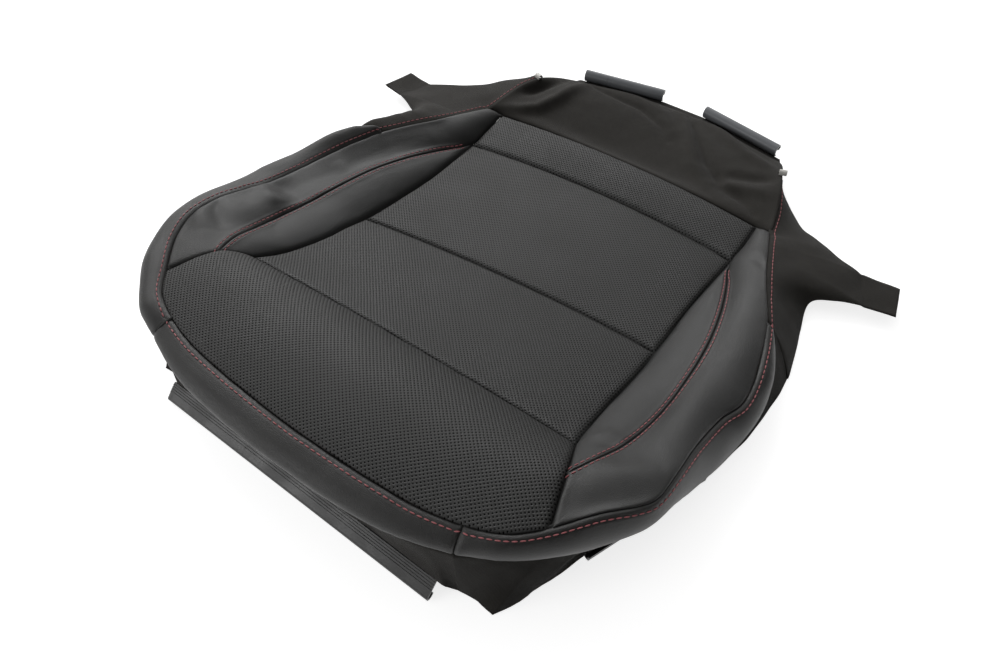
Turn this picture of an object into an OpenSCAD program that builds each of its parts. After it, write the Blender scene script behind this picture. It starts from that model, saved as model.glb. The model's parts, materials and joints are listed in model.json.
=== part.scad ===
// Trim cover for a sport seat's cushion, lying on its underside.
// The leather top is sewn from panels, each with its own foam, and stands on fabric skirts.
// Plastic profiles on sewn hinges hook the cover to the seat's frame.
// Front is -Y, left is -X as seen from the front, and Z = 0 is the surface that it lies on.

/* [Cover] */
// Width over the outer seams at the widest place
cover_w = 506; // [450:1:560]
// Length from the front seam to the rear edge of the insert
cover_l = 480; // [430:1:530]
// Height of the front seam
cover_h = 82; // [72:1:95]

/* [Materials] */
// Thickness of the leather
leather_t = 1.2; // [0.8:0.1:1.5]
// Thickness of the woven fabric
fabric_t = 1; // [0.7:0.1:1.3]
// Thickness of the foam behind the leather
foam_t = 2.6; // [2:0.1:3]
// Gap between two panels at their seam
seam_gap = 0.6; // [0.4:0.1:0.8]
// Gap between two layers that lie on each other
layer_gap = 0.3; // [0.2:0.05:0.4]
// Distance from the foam's edge to the seam
foam_margin = 2.5; // [2:0.1:4]

/* [Cushion form] */
// Crown of the front panel
front_crown = 10; // [4:0.5:14]
// Crown of each panel of the insert
insert_crown = 4; // [2:0.5:6]
// Crown of the bolster inside its double seam
bolster_inner_crown = 4; // [2:0.5:7]
// Crown of the bolster outside its double seam
bolster_outer_crown = 8; // [3:0.5:10]
// Bulge of the right side's facing
bulge_right = 8; // [4:0.5:14]
// Bulge of the left side's facing, which stands out further
bulge_left = 20; // [4:0.5:24]
// Bulge of the front facing
bulge_front = 4; // [1:0.5:6]
// Height of the folds in the rear panel
fold_h = 5; // [2:0.5:7]

/* [Listings] */
// Width of the fabric strips sewn under the insert's seams
listing_w = 14; // [10:0.5:18]
// Thickness of the listing fabric
listing_t = 0.8; // [0.6:0.1:1]
// Diameter of the rod in each listing's hem
rod_d = 2.4; // [2:0.1:2.6]

/* [Front retainer] */
// Length of the front retainer
retainer_l = 297; // [240:1:300]
// Width of its face
retainer_w = 18; // [15:0.5:22]
// Wall of all plastic profiles
profile_t = 1.5; // [1.2:0.1:1.8]
// Radius of the frame wire that the hooks hold
wire_r = 1.6; // [1.4:0.1:2]
// Slope of the face as it lies
retainer_slope = 42; // [30:1:43]
// Sideways place of the retainer's middle
retainer_shift = -5; // [-5:0.5:5]

/* [Rear clips] */
// Length of each rear clip
clip_l = 102; // [80:1:104]
// Hollow radius of the clip's bowed plate
plate_r = 6; // [5.5:0.1:6.5]

/* [Side retainers] */
// Length of each side retainer
side_retainer_l = 76; // [60:1:78]
// Width of its face
side_retainer_w = 12; // [10:0.5:12.5]

/* [Ear tabs] */
// Thickness of the doubled ear tab
tab_t = 1.6; // [1.2:0.1:2]
// Radius of the ear tab's corners
tab_r = 2; // [1:0.5:4]

/* [Hidden] */
$fn = 32;

leather = [0.24, 0.24, 0.24];
perforated = [0.28, 0.28, 0.28];
fabric = [0.16, 0.155, 0.15];
foam = [0.75, 0.73, 0.68];
plastic = [0.3, 0.31, 0.32];
clip_grey = [0.55, 0.57, 0.59];

// The right-hand seam lines, from the rear to the front, at the nominal size.
// fit() stretches them to the chosen width, length and height.
nominal = [506, 480, 82];
insert_seam = [
    [163, 190, 18], [164, 150, 11], [163, 122, 8], [161, 80, 9], [160, 38, 10],
    [162, -5, 13], [164, -50, 18], [165, -84, 26], [165, -115, 33], [167, -145, 42],
    [170, -169, 51], [174, -192, 64]
];
double_seam = [
    [168, 104, 8], [177, 84, 13], [190, 43, 23], [200, -2, 31], [205, -45, 36],
    [207, -90, 41], [206, -125, 49], [202, -158, 60], [195, -187, 73], [186, -212, 80]
];
outer_rear = [[180, 172, 21], [193, 136, 28], [206, 101, 33], [220, 70, 37], [232, 42, 39]];
outer_side = [
    [232, 42, 39], [243, 4, 40], [250, -28, 40], [253, -61, 43], [252, -100, 52],
    [250, -133, 65], [248, -164, 76], [242, -197, 82], [226, -228, 83], [202, -256, 82]
];
outer_corner = [[202, -256, 82], [182, -276, 82], [155, -288, 81]];
front_half = [[155, -288, 81], [120, -296, 80], [80, -300, 80], [40, -302, 80], [0, -303, 80]];
facing_low = [
    [238, 43, 34], [250, 24, 27], [260, 0, 21], [266, -30, 13], [265, -68, 10],
    [260, -105, 11], [254, -140, 20], [244, -180, 31], [233, -212, 36], [218, -239, 42],
    [198, -264, 50], [176, -286, 58], [157, -303, 65]
];
front_low_half = [[157, -303, 65], [110, -316, 62], [60, -322, 62], [0, -324, 62]];
// What lies on the floor starts 1 mm below it and is cut flat
skirt_low_side = [
    [268, 28, -1], [270, 0, -1], [268, -40, -1], [263, -80, -1], [255, -118, -1],
    [243, -152, -1], [229, -187, -1], [216, -219, -1], [208, -246, -1], [198, -276, -1], [187, -300, -1]
];
skirt_low_front = [[187, -300, -1], [172, -299, -1], [158, -300, -1]];
// Corner seams between the rear panel and the gussets. The left one ends further out.
corner_seam_right = [[180, 172, 21], [173, 200, 24], [163, 228, 29], [153, 255, 27]];
corner_seam_left = [[180, 172, 21], [176, 200, 25], [171, 226, 28], [163, 250, 27]];
// Rear gussets: the rest of the sewn edge, and the free edge, which stands up behind on the left
gusset_sewn = [
    [184, 162, 23], [187, 152, 25], [193, 136, 28], [198, 122, 30],
    [206, 101, 33], [213, 86, 35], [220, 70, 37], [231, 48, 39]
];
gusset_rear_right = [[147, 268, 4], [168, 247, -1], [194, 222, -1], [216, 205, 7], [244, 187, 14]];
gusset_rear_left = [[172, 258, 24], [185, 250, 20], [205, 232, 16], [224, 212, 14], [247, 193, 14]];
gusset_front = [
    [274, 175, 14], [290, 136, 14], [268, 127, 14], [249, 115, 10],
    [254, 88, -1], [260, 62, -1], [267, 36, -1]
];
// Rear panel: edge and middle of each line across it, behind the insert's rear seam.
// Its last two lines bound a flat hem, on which the clips are sewn.
rim_z = 9.5;
rear_shoulder_right = [145, 278, 19];
rear_shoulder_left = [152, 275, 19];
rear_hem = [[136.5, 295.5, 10], [134, 301, rim_z]];
rear_middle = [
    [0, 186, 16], [0, 206, 6], [0, 236, 9], [0, 272, 15], [0, 304, 15], [0, 314, 10.2], [0, 321, rim_z]
];
// Cross seams of the insert: place, skew from middle to end, and bow at the middle
cross_y = [-181, -43, 121, 177];
cross_skew = [8, 14, 3, 0];
cross_bow = [4, 8, 12, 9];

// Where the insert's edge joins the rear of the outer bolster
bolster_rear_y = [177, 150, 122];
grid_along = 18;
grid_front = 14;
// Cells across the bolsters' inner and outer panels, the facings, skirts and gussets
inner_m = 3;
outer_m = 4;
facing_m = 4;
skirt_m = 3;
gusset_m = 4;
floor_clear = 3.2;
room = 800;

// --- curves ---
function mix(a, b, t) = a + (b - a) * t;
function unit(v) = v / norm(v);
function last(p) = p[len(p) - 1];
function fit(p) = [p.x * cover_w / nominal.x, p.y * cover_l / nominal.y, p.z * cover_h / nominal.z];
function fitted(points) = [for (p = points) fit(p)];
function flip(points) = [for (p = points) [-p.x, p.y, p.z]];
function reversed(points) = [for (i = [len(points) - 1 : -1 : 0]) points[i]];
function tail(points) = [for (i = [1 : len(points) - 1]) points[i]];

// A point between p[i] and p[i + 1] on the smooth curve through all points
function curve_point(p, i, t) =
    let (n = len(p) - 1, a = p[max(i - 1, 0)], b = p[i], c = p[i + 1], d = p[min(i + 2, n)])
    0.5 * (2 * b + (c - a) * t + (2 * a - 5 * b + 4 * c - d) * t * t
        + (3 * b - a - 3 * c + d) * t * t * t);
function smooth(p, k = 5) =
    [for (i = [0 : len(p) - 2]) for (s = [0 : k - 1]) curve_point(p, i, s / k), last(p)];
function lengths(p) =
    [for (i = 0, s = 0; i < len(p); i = i + 1, s = i < len(p) ? s + norm(p[i] - p[i - 1]) : s) s];
// The same curve with n + 1 points at equal distances
function even(p, n) =
    let (q = smooth(p), s = lengths(q),
         table = [for (axis = [0 : 2]) [for (i = [0 : len(q) - 1]) [s[i], q[i][axis]]]])
    [for (k = [0 : n]) [for (axis = [0 : 2]) lookup(last(s) * k / n, table[axis])]];
function on(rail, t) =
    let (k = t * (len(rail) - 1), i = min(floor(k), len(rail) - 2))
    mix(rail[i], rail[i + 1], k - i);
// A rail moved level and square to itself, to the left of its direction
function pushed(rail, t) =
    [for (i = [0 : len(rail) - 1])
        let (d = rail[min(i + 1, len(rail) - 1)] - rail[max(i - 1, 0)])
        rail[i] + t * unit([-d.y, d.x, 0])];

// --- surfaces ---
// A surface is [edge at v = 0, edge at v = 1, edge at u = 0, edge at u = 1, crown, power u, power v, lift].
// The crown is one height, or a table of [u, height].
function patch(s, u, v) =
    on(s[0], u) * (1 - v) + on(s[1], u) * v + on(s[2], v) * (1 - u) + on(s[3], v) * u
    - (s[0][0] * (1 - v) + s[1][0] * v) * (1 - u) - (last(s[0]) * (1 - v) + last(s[1]) * v) * u;
function strip(a, b, crown, power_u, power_v, lift = [0, 0, 0]) =
    [a, b, [a[0], b[0]], [last(a), last(b)], crown, power_u, power_v, lift];
step = 0.02;
function low(t) = max(t - step, 0);
function high(t) = min(t + step, 1);
function patch_normal(s, u, v) =
    unit(cross(patch(s, high(u), v) - patch(s, low(u), v), patch(s, u, high(v)) - patch(s, u, low(v))));
function bump(t, power) = power == 0 ? 1 : pow(max(sin(180 * t), 0), power);
function crown_at(s, u) = is_list(s[4]) ? lookup(u, s[4]) : s[4] * bump(u, s[5]);
function spot(s, u, v) =
    patch(s, u, v) + crown_at(s, u) * bump(v, s[6]) * (patch_normal(s, u, v) + s[7]);
function spot_normal(s, u, v) =
    unit(cross(spot(s, high(u), v) - spot(s, low(u), v), spot(s, u, high(v)) - spot(s, u, low(v))));

function steps(n, cut) = [for (k = [0 : n]) k == 0 ? cut : k == n ? 1 - cut : k / n];
// Rows of [place, normal] over a surface, the outer ones half a seam gap inside its edges
function surface_grid(s, n, m) =
    let (cut = seam_gap / 2,
         us = steps(n, cut / max(norm(last(s[0]) - s[0][0]), norm(last(s[1]) - s[1][0]))),
         vs = steps(m, cut / norm(on(s[1], 0.5) - on(s[0], 0.5))))
    [for (u = us) [for (v = vs) [spot(s, u, v), spot_normal(s, u, v)]]];
// The same rows with the first and the last moved inwards by a margin, along the facets
most_moved = 0.9;
function moved_in(a, b, margin) = mix(a, b, min(margin / norm(b[0] - a[0]), most_moved));
function trim_row(row, margin) =
    let (n = len(row) - 1)
    [for (i = [0 : n]) i == 0 ? moved_in(row[0], row[1], margin)
        : i == n ? moved_in(row[n], row[n - 1], margin) : row[i]];
function flipped(g) = [for (j = [0 : len(g[0]) - 1]) [for (i = [0 : len(g) - 1]) g[i][j]]];
function trimmed(g, margin) =
    flipped([for (column = flipped([for (row = g) trim_row(row, margin)])) trim_row(column, margin)]);
function sheet_faces(n, m) =
    let (w = m + 1, below = (n + 1) * w)
    concat(
        [for (i = [0 : n - 1]) for (j = [0 : m - 1]) let (a = i * w + j)
            each [[a, a + 1, a + w + 1], [a, a + w + 1, a + w]]],
        [for (i = [0 : n - 1]) for (j = [0 : m - 1]) let (a = below + i * w + j)
            each [[a, a + w + 1, a + 1], [a, a + w, a + w + 1]]],
        [for (i = [0 : n - 1]) let (a = i * w, b = a + w)
            each [[a, b, below + b], [a, below + b, below + a]]],
        [for (i = [0 : n - 1]) let (a = i * w + m, b = a + w)
            each [[b, a, below + a], [b, below + a, below + b]]],
        [for (j = [0 : m - 1]) let (a = j, b = j + 1)
            each [[b, a, below + a], [b, below + a, below + b]]],
        [for (j = [0 : m - 1]) let (a = n * w + j, b = a + 1)
            each [[a, b, below + b], [a, below + b, below + a]]]);
// A sheet between two depths under a grid
module sheet(g, top, bottom) {
    spots = [for (row = g) each row];
    polyhedron(
        points = concat([for (p = spots) p[0] - top * p[1]], [for (p = spots) p[0] - bottom * p[1]]),
        faces = sheet_faces(len(g) - 1, len(g[0]) - 1));
}
module leather_sheet(s, n, m) {
    sheet(surface_grid(s, n, m), 0, leather_t);
}
module foam_sheet(s, n, m) {
    top = leather_t + layer_gap;
    sheet(trimmed(surface_grid(s, n, m), foam_margin), top, top + foam_t);
}
module fabric_sheet(s, n, m) {
    color(fabric) sheet(surface_grid(s, n, m), 0, fabric_t);
}
// Cuts off what reaches below the floor
module cut_flat() {
    difference() {
        children();
        translate([-room / 2, -room / 2, -10])
            cube([room, room, 10]);
    }
}
// A round rod along a rail
module rod(rail, r, k = 6) {
    n = len(rail);
    rings = [for (i = [0 : n - 1])
        let (d = unit(rail[min(i + 1, n - 1)] - rail[max(i - 1, 0)]),
             side = unit([-d.y, d.x, 0]), up = cross(d, side))
        for (a = [0 : k - 1]) rail[i] + r * (cos(a * 360 / k) * side + sin(a * 360 / k) * up)];
    polyhedron(
        points = rings,
        faces = concat(
            [[for (a = [0 : k - 1]) a]],
            [[for (a = [k - 1 : -1 : 0]) (n - 1) * k + a]],
            [for (i = [0 : n - 2]) for (a = [0 : k - 1]) let (p = i * k + a, q = i * k + (a + 1) % k)
                each [[p, p + k, q + k], [p, q + k, q]]]));
}

// --- seams ---
insert_curve = smooth(fitted(insert_seam));
insert_table_x = [for (p = insert_curve) [p.y, p.x]];
insert_table_z = [for (p = insert_curve) [p.y, p.z]];
function insert_at(y) = [lookup(y, insert_table_x), y, lookup(y, insert_table_z)];
function insert_part(y0, y1, n) = [for (k = [0 : n]) insert_at(mix(y0, y1, k / n))];
stretch_y = cover_l / nominal.y;
function cross_end(k, side) = (cross_y[k] + side * cross_skew[k]) * stretch_y;
function cross_seam(k, n) =
    [for (i = [0 : n])
        let (u = 2 * i / n - 1,
             y = (cross_y[k] + cross_skew[k] * u + cross_bow[k] * (1 - u * u)) * stretch_y,
             p = insert_at(y))
        [u * p.x, y, p.z]];
double_points = fitted(double_seam);
double_rail = even(double_points, grid_along);
outer_points = fitted(concat(outer_rear, tail(outer_side)));
edge_points = fitted(concat(outer_side, tail(outer_corner)));
front_points = fitted(front_half);
front_low_points = fitted(front_low_half);

// --- panels ---
front_n = 18;
front_m = 6;
insert_n = 10;
insert_m = 4;
function front_side(side) =
    [insert_at(cross_end(0, side)), last(double_points), last(outer_points)];
function front_surface() =
    let (right = concat(reversed(front_points), tail(reversed(fitted(outer_corner)))),
         whole = concat(flip(reversed(right)), tail(right)))
    [even(whole, 2 * front_n), cross_seam(0, front_n),
     flip(reversed(even(front_side(-1), front_m))), reversed(even(front_side(1), front_m)),
     front_crown, 0.4, 0.6, [0, 0, 0]];
function insert_surface(k) =
    [cross_seam(k, insert_n), cross_seam(k + 1, insert_n),
     flip(insert_part(cross_end(k, -1), cross_end(k + 1, -1), insert_m)),
     insert_part(cross_end(k, 1), cross_end(k + 1, 1), insert_m),
     insert_crown, 0.3, 0.6, [0, 0, 0]];
function bolster_inner_surface(side) =
    strip(insert_part(double_points[0].y, cross_end(0, side), grid_along), double_rail,
        bolster_inner_crown, 0.5, 0.8);
function bolster_outer_surface() =
    let (rear = [for (y = bolster_rear_y) insert_at(y * stretch_y)])
    strip(even(concat(rear, double_points), grid_along), even(outer_points, grid_along),
        bolster_outer_crown, 0.4, 0.8);
// How a facing's bulge and a gusset's crown change along them, in shares of their largest value
facing_swell_right = [
    [0, 0.3], [0.15, 0.85], [0.4, 1], [0.6, 0.95], [0.8, 0.9], [0.93, 0.7], [1, 0]
];
facing_swell_left = [
    [0, 0.4], [0.12, 0.7], [0.25, 1], [0.35, 1.15], [0.5, 1], [0.65, 0.8], [0.8, 0.6], [0.94, 0.4], [1, 0]
];
// The upright seam at the front corner, which both facings share, and its bulge
corner_out = unit([0.25, -1, 0.3]);
corner_bulge_right = 4;
corner_bulge_left = 10;
function upright_seam(top, low, side) =
    let (bulge = side > 0 ? corner_bulge_right : corner_bulge_left)
    [for (k = [0 : facing_m]) let (v = k / facing_m)
        mix(top, low, v) + bulge * bump(v, 0.7) * corner_out];
function scaled(table, size) = [for (t = table) [t[0], t[1] * size]];
facing_out = leather_t / 2 + layer_gap;
function side_facing_surface(side) =
    let (swell = side > 0 ? scaled(facing_swell_right, bulge_right) : scaled(facing_swell_left, bulge_left),
         top = pushed(even(edge_points, grid_along), facing_out),
         low = pushed(even(fitted(facing_low), grid_along), facing_out))
    [top, low, [top[0], low[0]], upright_seam(last(top), last(low), side),
     swell, 0, 0.7, [0, 0, side > 0 ? 0.3 : 0.6]];
function front_facing_surface() =
    let (low_edge = concat(flip(front_low_points), tail(reversed(front_low_points))),
         seam = concat(flip(front_points), tail(reversed(front_points))),
         low = pushed(even(low_edge, grid_front), -facing_out),
         top = pushed(even(seam, grid_front), -facing_out))
    [low, top, flip(upright_seam(flip([low[0]])[0], flip([top[0]])[0], -1)),
     upright_seam(last(low), last(top), 1),
     [[0, 0], [0.2, bulge_front], [0.8, bulge_front], [1, 0]], 0, 0.7, [0, 0, 0]];

// The front band's lower edge, where the front retainer is sewn on
band_foot = fit([150, -309, 16]);
// On the right the band reaches down to the skirt's corner
band_corner = fit([157, -302, 4]);
band_sink = 2;
function front_band_surface() =
    let (low_edge = concat(flip(front_low_points), tail(reversed(front_low_points))),
         foot = [for (share = [-1 : 1]) [share * band_foot.x, band_foot.y, band_foot.z]])
    strip(concat(even(foot, grid_front - 1), [band_corner]), even(low_edge, grid_front),
        -band_sink, 0.3, 0.8);
// The skirt turns a sharp corner near the front, over its last three cells.
// It is drawn in behind the side retainer.
skirt_corner_cells = 3;
skirt_swell = [[0, 0], [0.4, 0], [0.48, -8], [0.68, -8], [0.76, -1], [1, 0]];
function side_skirt_surface() =
    let (side = even(fitted(skirt_low_side), grid_along - skirt_corner_cells),
         front = even(fitted(skirt_low_front), skirt_corner_cells))
    strip(even(fitted(facing_low), grid_along), concat(side, tail(front)), skirt_swell, 0, 0.7);
gusset_swell_right = [[0, 0.1], [0.5, 0.15], [1, 0.25]];
gusset_swell_left = [[0, 0.1], [0.6, 0.15], [0.8, 0.6], [0.92, 0.85], [1, 0.8]];
function corner_seam(side) = side > 0 ? corner_seam_right : corner_seam_left;
function gusset_surface(side) =
    let (out = fabric_t + layer_gap,
         swell = side > 0 ? gusset_swell_right : gusset_swell_left,
         sewn = fitted(concat(reversed(corner_seam(side)), gusset_sewn)),
         free = fitted(concat(side > 0 ? gusset_rear_right : gusset_rear_left, gusset_front)))
    strip(pushed(sewn, out), free, scaled(swell, bulge_left), 0, 0.9);

// Rear panel: a smooth surface through its cross lines, with two drawn folds
rear_n = 18;
rear_m = 9;
rear_last = len(rear_middle) - 1;
function rear_edge(side) =
    concat(corner_seam(side), [side > 0 ? rear_shoulder_right : rear_shoulder_left], rear_hem);
// Lines across change from round to three straight parts, along which the clips are sewn
function rear_rise(k, u) = mix(1 - u * u, min(1, (1 - abs(u)) / 0.8), k / rear_last);
function rear_line(k, n) =
    let (middle = fit(rear_middle[k]))
    [for (i = [0 : n]) let (u = 2 * i / n - 1, rise = rear_rise(k, u), edge = fit(rear_edge(u)[k]))
        [u * edge.x, mix(edge.y, middle.y, rise), mix(edge.z, middle.z, rise)]];
// The first line runs along both bolsters' rear ends and the insert's rear seam
function rear_front_line(n) =
    let (corner = fit(corner_seam_right[0]), seam = cross_seam(3, 10))
    even(concat([[-corner.x, corner.y, corner.z]], seam, [corner]), n);
fold_lines = [[[30, 296], [148, 196]], [[-112, 284], [-20, 262]]];
fold_reach = 11;
// Share of a fold's length over which it ends blunt
fold_end = 0.06;
function in_plan(p) = [p.x * cover_w / nominal.x, p.y * stretch_y];
function fold_height(p) =
    max([for (f = fold_lines)
        let (a = in_plan(f[0]), d = in_plan(f[1]) - a, q = [p.x, p.y] - a,
             t = max(0, min(1, q * d / (d * d))),
             away = norm(q - d * t) / fold_reach)
        fold_h * exp(-away * away) * sin(180 * min(max(t, fold_end), 1 - fold_end))]);
function rear_grid() =
    let (lines = concat([rear_front_line(rear_n)], [for (k = [1 : rear_last]) rear_line(k, rear_n)]))
    [for (i = [0 : rear_n])
        let (points = [for (k = [0 : rear_last - 1]) lines[k][i]],
             column = concat(even(points, rear_m - 1), [lines[rear_last][i]]))
        [for (j = [0 : rear_m])
            let (p = column[j], cut = j == 0 ? [0, seam_gap, -seam_gap / 2] : [0, 0, 0],
                 inside = j > 0 && j < rear_m - 1 && i > 0 && i < rear_n)
            p + cut + [0, 0, inside ? fold_height(p) : 0]]];
function grid_normal(g, i, j) =
    unit(cross(g[min(i + 1, len(g) - 1)][j] - g[max(i - 1, 0)][j],
        g[i][min(j + 1, len(g[0]) - 1)] - g[i][max(j - 1, 0)]));

// --- listings ---
function hem(rail) = [for (p = rail) [p.x, p.y, max(p.z - listing_w, floor_clear)]];
function hung(rail) = [for (p = rail) p - [0, 0, leather_t + layer_gap]];
module listing(rail) {
    hanging = strip(hung(rail), hem(rail), 0, 0, 0);
    sheet(surface_grid(hanging, len(rail) - 1, 1), -listing_t / 2, listing_t / 2);
}
module listing_rod(rail) {
    rod([for (p = hem(rail)) p - [0, 0, rod_d / 2 + layer_gap]], rod_d / 2);
}
// Every other point of a cross seam, so that the strip ends short of the insert's edge
listing_n = 24;
function cross_listing(k) =
    let (s = cross_seam(k, listing_n)) [for (i = [1 : 2 : listing_n - 1]) s[i]];
side_listing_rear = 165;
side_listing_short = 8;
function side_listing(side) =
    insert_part(side_listing_rear * stretch_y, cross_end(0, side) + side_listing_short, listing_n / 2 - 1);

// --- plastic profiles ---
// An arc of wall t outside radius r, from angle a to angle b
module arc_wall(r, t, a, b) {
    wedge = [for (k = [0 : 8]) let (turn = mix(a, b, k / 8)) 3 * (r + t) * [cos(turn), sin(turn)]];
    intersection() {
        difference() {
            circle(r = r + t, $fn = 64);
            circle(r = r, $fn = 64);
        }
        polygon(concat([[0, 0]], wedge));
    }
}
rib = [1.2, 0.4];
// Share of the flat face that has ribs, and the straight lip of the hook
ribbed_share = 0.6;
hook_lip = 3;
join_depth = 0.01;
// Flat ribbed face of width w, with a hook for the frame wire at its far end,
// below the face or above it
module hook_profile(w, ribs, below) {
    nose = wire_r + profile_t;
    flat = w - nose;
    translate([0, -profile_t])
        square([flat, profile_t]);
    for (k = [1 : ribs])
        translate([flat * ribbed_share * k / ribs - rib.x / 2, 0])
            square(rib);
    translate([0, below ? 0 : -profile_t])
        mirror([0, below ? 0 : 1])
            translate([flat, -nose]) {
                arc_wall(wire_r, profile_t, -90, 90);
                translate([-hook_lip, -nose])
                    square([hook_lip + join_depth, profile_t]);
            }
}
// Bowed plate, hollow to the rear, that starts in a foot and ends in a curl for the frame wire
plate_from = 235;
plate_to = 105;
curl_turn = 230;
// The curl starts inside the plate by this angle
curl_overlap = 5;
clip_drop = -(plate_r + profile_t) * sin(plate_from);
module clip_profile() {
    reach = plate_r - wire_r;
    translate([-plate_r * cos(plate_from), clip_drop]) {
        arc_wall(plate_r, profile_t, plate_to, plate_from);
        translate(reach * [cos(plate_to), sin(plate_to)])
            arc_wall(wire_r, profile_t, plate_to - curl_turn, plate_to + curl_overlap);
    }
}
// Sweeps a profile drawn in the Y-Z plane along X, over a length with its middle at 0
module along_x(l) {
    translate([-l / 2, 0, 0])
        rotate([90, 0, 90])
            linear_extrude(l)
                children();
}

retainer_axis = [retainer_shift, band_foot.y - layer_gap, band_foot.z];
module front_retainer_place() {
    translate(retainer_axis)
        rotate([retainer_slope, 0, 0])
            mirror([0, 1, 0])
                children();
}
module front_retainer() {
    color(plastic)
        front_retainer_place()
            along_x(retainer_l)
                hook_profile(retainer_w, 4, true);
}
tape_w = 9;
tape_inset = 2;
module front_retainer_tape() {
    behind = profile_t + layer_gap;
    color(fabric)
        front_retainer_place()
            translate([-retainer_l / 2 + tape_inset, behind, -behind - fabric_t])
                cube([retainer_l - 2 * tape_inset, tape_w, fabric_t]);
}

// Rear clips stand on the rear panel's rear edge, at the slant of that edge
clip_outer = fit([129, 302, rim_z]);
clip_inner = fit([27, 321, rim_z]);
clip_seat = 2 * layer_gap;
clip_middle = (clip_outer + clip_inner) / 2;
clip_turn = atan2(clip_outer.y - clip_inner.y, clip_outer.x - clip_inner.x);
module rear_clip_place() {
    translate(clip_middle + [0, clip_seat, clip_seat])
        rotate([0, 0, clip_turn])
            children();
}
module rear_clip() {
    color(clip_grey)
        rear_clip_place()
            along_x(clip_l)
                clip_profile();
}
// The tape lies under the rear panel's hem
clip_tape_w = 6;
module rear_clip_tape() {
    color(fabric)
        rear_clip_place()
            translate([-clip_l / 2 + tape_inset, -clip_tape_w, -clip_seat - 2 * fabric_t - 2 * layer_gap])
                cube([clip_l - 2 * tape_inset, clip_tape_w, fabric_t]);
}

// Side retainers hang on the skirt's outside, near its front corner
side_rear = fit([240.5, -151.5, 14]);
side_front = fit([214.5, -223.5, 14]);
side_middle = (side_rear + side_front) / 2;
side_turn = atan2(side_rear.y - side_front.y, side_rear.x - side_front.x);
module side_retainer_place() {
    translate(side_middle)
        rotate([0, 0, side_turn])
            translate([0, -profile_t - layer_gap, 0])
                rotate([90, 0, 0])
                    mirror([0, 1, 0])
                        children();
}
module side_retainer() {
    color(plastic)
        side_retainer_place()
            along_x(side_retainer_l)
                hook_profile(side_retainer_w, 2, false);
}
side_tape_w = 4;
module side_retainer_tape() {
    color(fabric)
        side_retainer_place()
            translate([-side_retainer_l / 2 + tape_inset, 0, rib.y + layer_gap])
                cube([side_retainer_l - 2 * tape_inset, side_tape_w, fabric_t]);
}

// Ear tabs: flat tabs sewn to the gussets' free corners
tab_root = [fit(gusset_front[0]), fit(gusset_front[1])];
tab_tip = [fit([311, 180, 14]), fit([320, 142, 14])];
module ear_tab() {
    color(fabric)
        translate([0, 0, tab_root[0].z - tab_t])
            linear_extrude(tab_t)
                offset(r = tab_r)
                    offset(delta = -tab_r)
                        polygon([for (p = [tab_root[0], tab_root[1], tab_tip[1], tab_tip[0]]) [p.x, p.y]]);
}

// A short white hook at the rear end of each corner seam
corner_hook_l = 8;
corner_hook_r = 1.9;
corner_hook_t = 1.1;
corner_turn = 20;
module corner_clip(side) {
    color("white")
        translate(last(fitted(corner_seam(side))) + [0, 0, 2 * layer_gap])
            rotate([0, 0, corner_turn])
                along_x(corner_hook_l) {
                    translate([0, corner_hook_r])
                        arc_wall(corner_hook_r, corner_hook_t, 0, 180);
                    for (y = [-corner_hook_r - corner_hook_t, corner_hook_r])
                        translate([y, 0])
                            square([corner_hook_t, corner_hook_r + join_depth]);
                }
}

// --- the pieces ---
module on_side(side) {
    if (side < 0)
        mirror([1, 0, 0]) children();
    else
        children();
}
module front_panel() {
    color(perforated) leather_sheet(front_surface(), front_n, front_m);
}
module front_panel_foam() {
    color(foam) foam_sheet(front_surface(), front_n, front_m);
}
module insert_panel(k) {
    color(perforated) leather_sheet(insert_surface(k), insert_n, insert_m);
}
module insert_foam(k) {
    color(foam) foam_sheet(insert_surface(k), insert_n, insert_m);
}
module bolster_inner(side) {
    on_side(side) color(leather) leather_sheet(bolster_inner_surface(side), grid_along, inner_m);
}
module bolster_inner_foam(side) {
    on_side(side) color(foam) foam_sheet(bolster_inner_surface(side), grid_along, inner_m);
}
module bolster_outer(side) {
    on_side(side) color(leather) leather_sheet(bolster_outer_surface(), grid_along, outer_m);
}
module bolster_outer_foam(side) {
    on_side(side) color(foam) foam_sheet(bolster_outer_surface(), grid_along, outer_m);
}
module side_facing(side) {
    on_side(side) color(leather) leather_sheet(side_facing_surface(side), grid_along, facing_m);
}
module front_facing() {
    color(leather) leather_sheet(front_facing_surface(), grid_front, facing_m);
}
module side_skirt() {
    cut_flat() fabric_sheet(side_skirt_surface(), grid_along, skirt_m);
}
module rear_gusset(side) {
    cut_flat() fabric_sheet(gusset_surface(side), len(corner_seam(side)) + len(gusset_sewn) - 1, gusset_m);
}
module rear_panel() {
    g = rear_grid();
    points = [for (i = [0 : rear_n]) for (j = [0 : rear_m]) g[i][j]];
    under = [for (i = [0 : rear_n]) for (j = [0 : rear_m]) g[i][j] - fabric_t * grid_normal(g, i, j)];
    color(fabric) polyhedron(points = concat(points, under), faces = sheet_faces(rear_n, rear_m));
}

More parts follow.
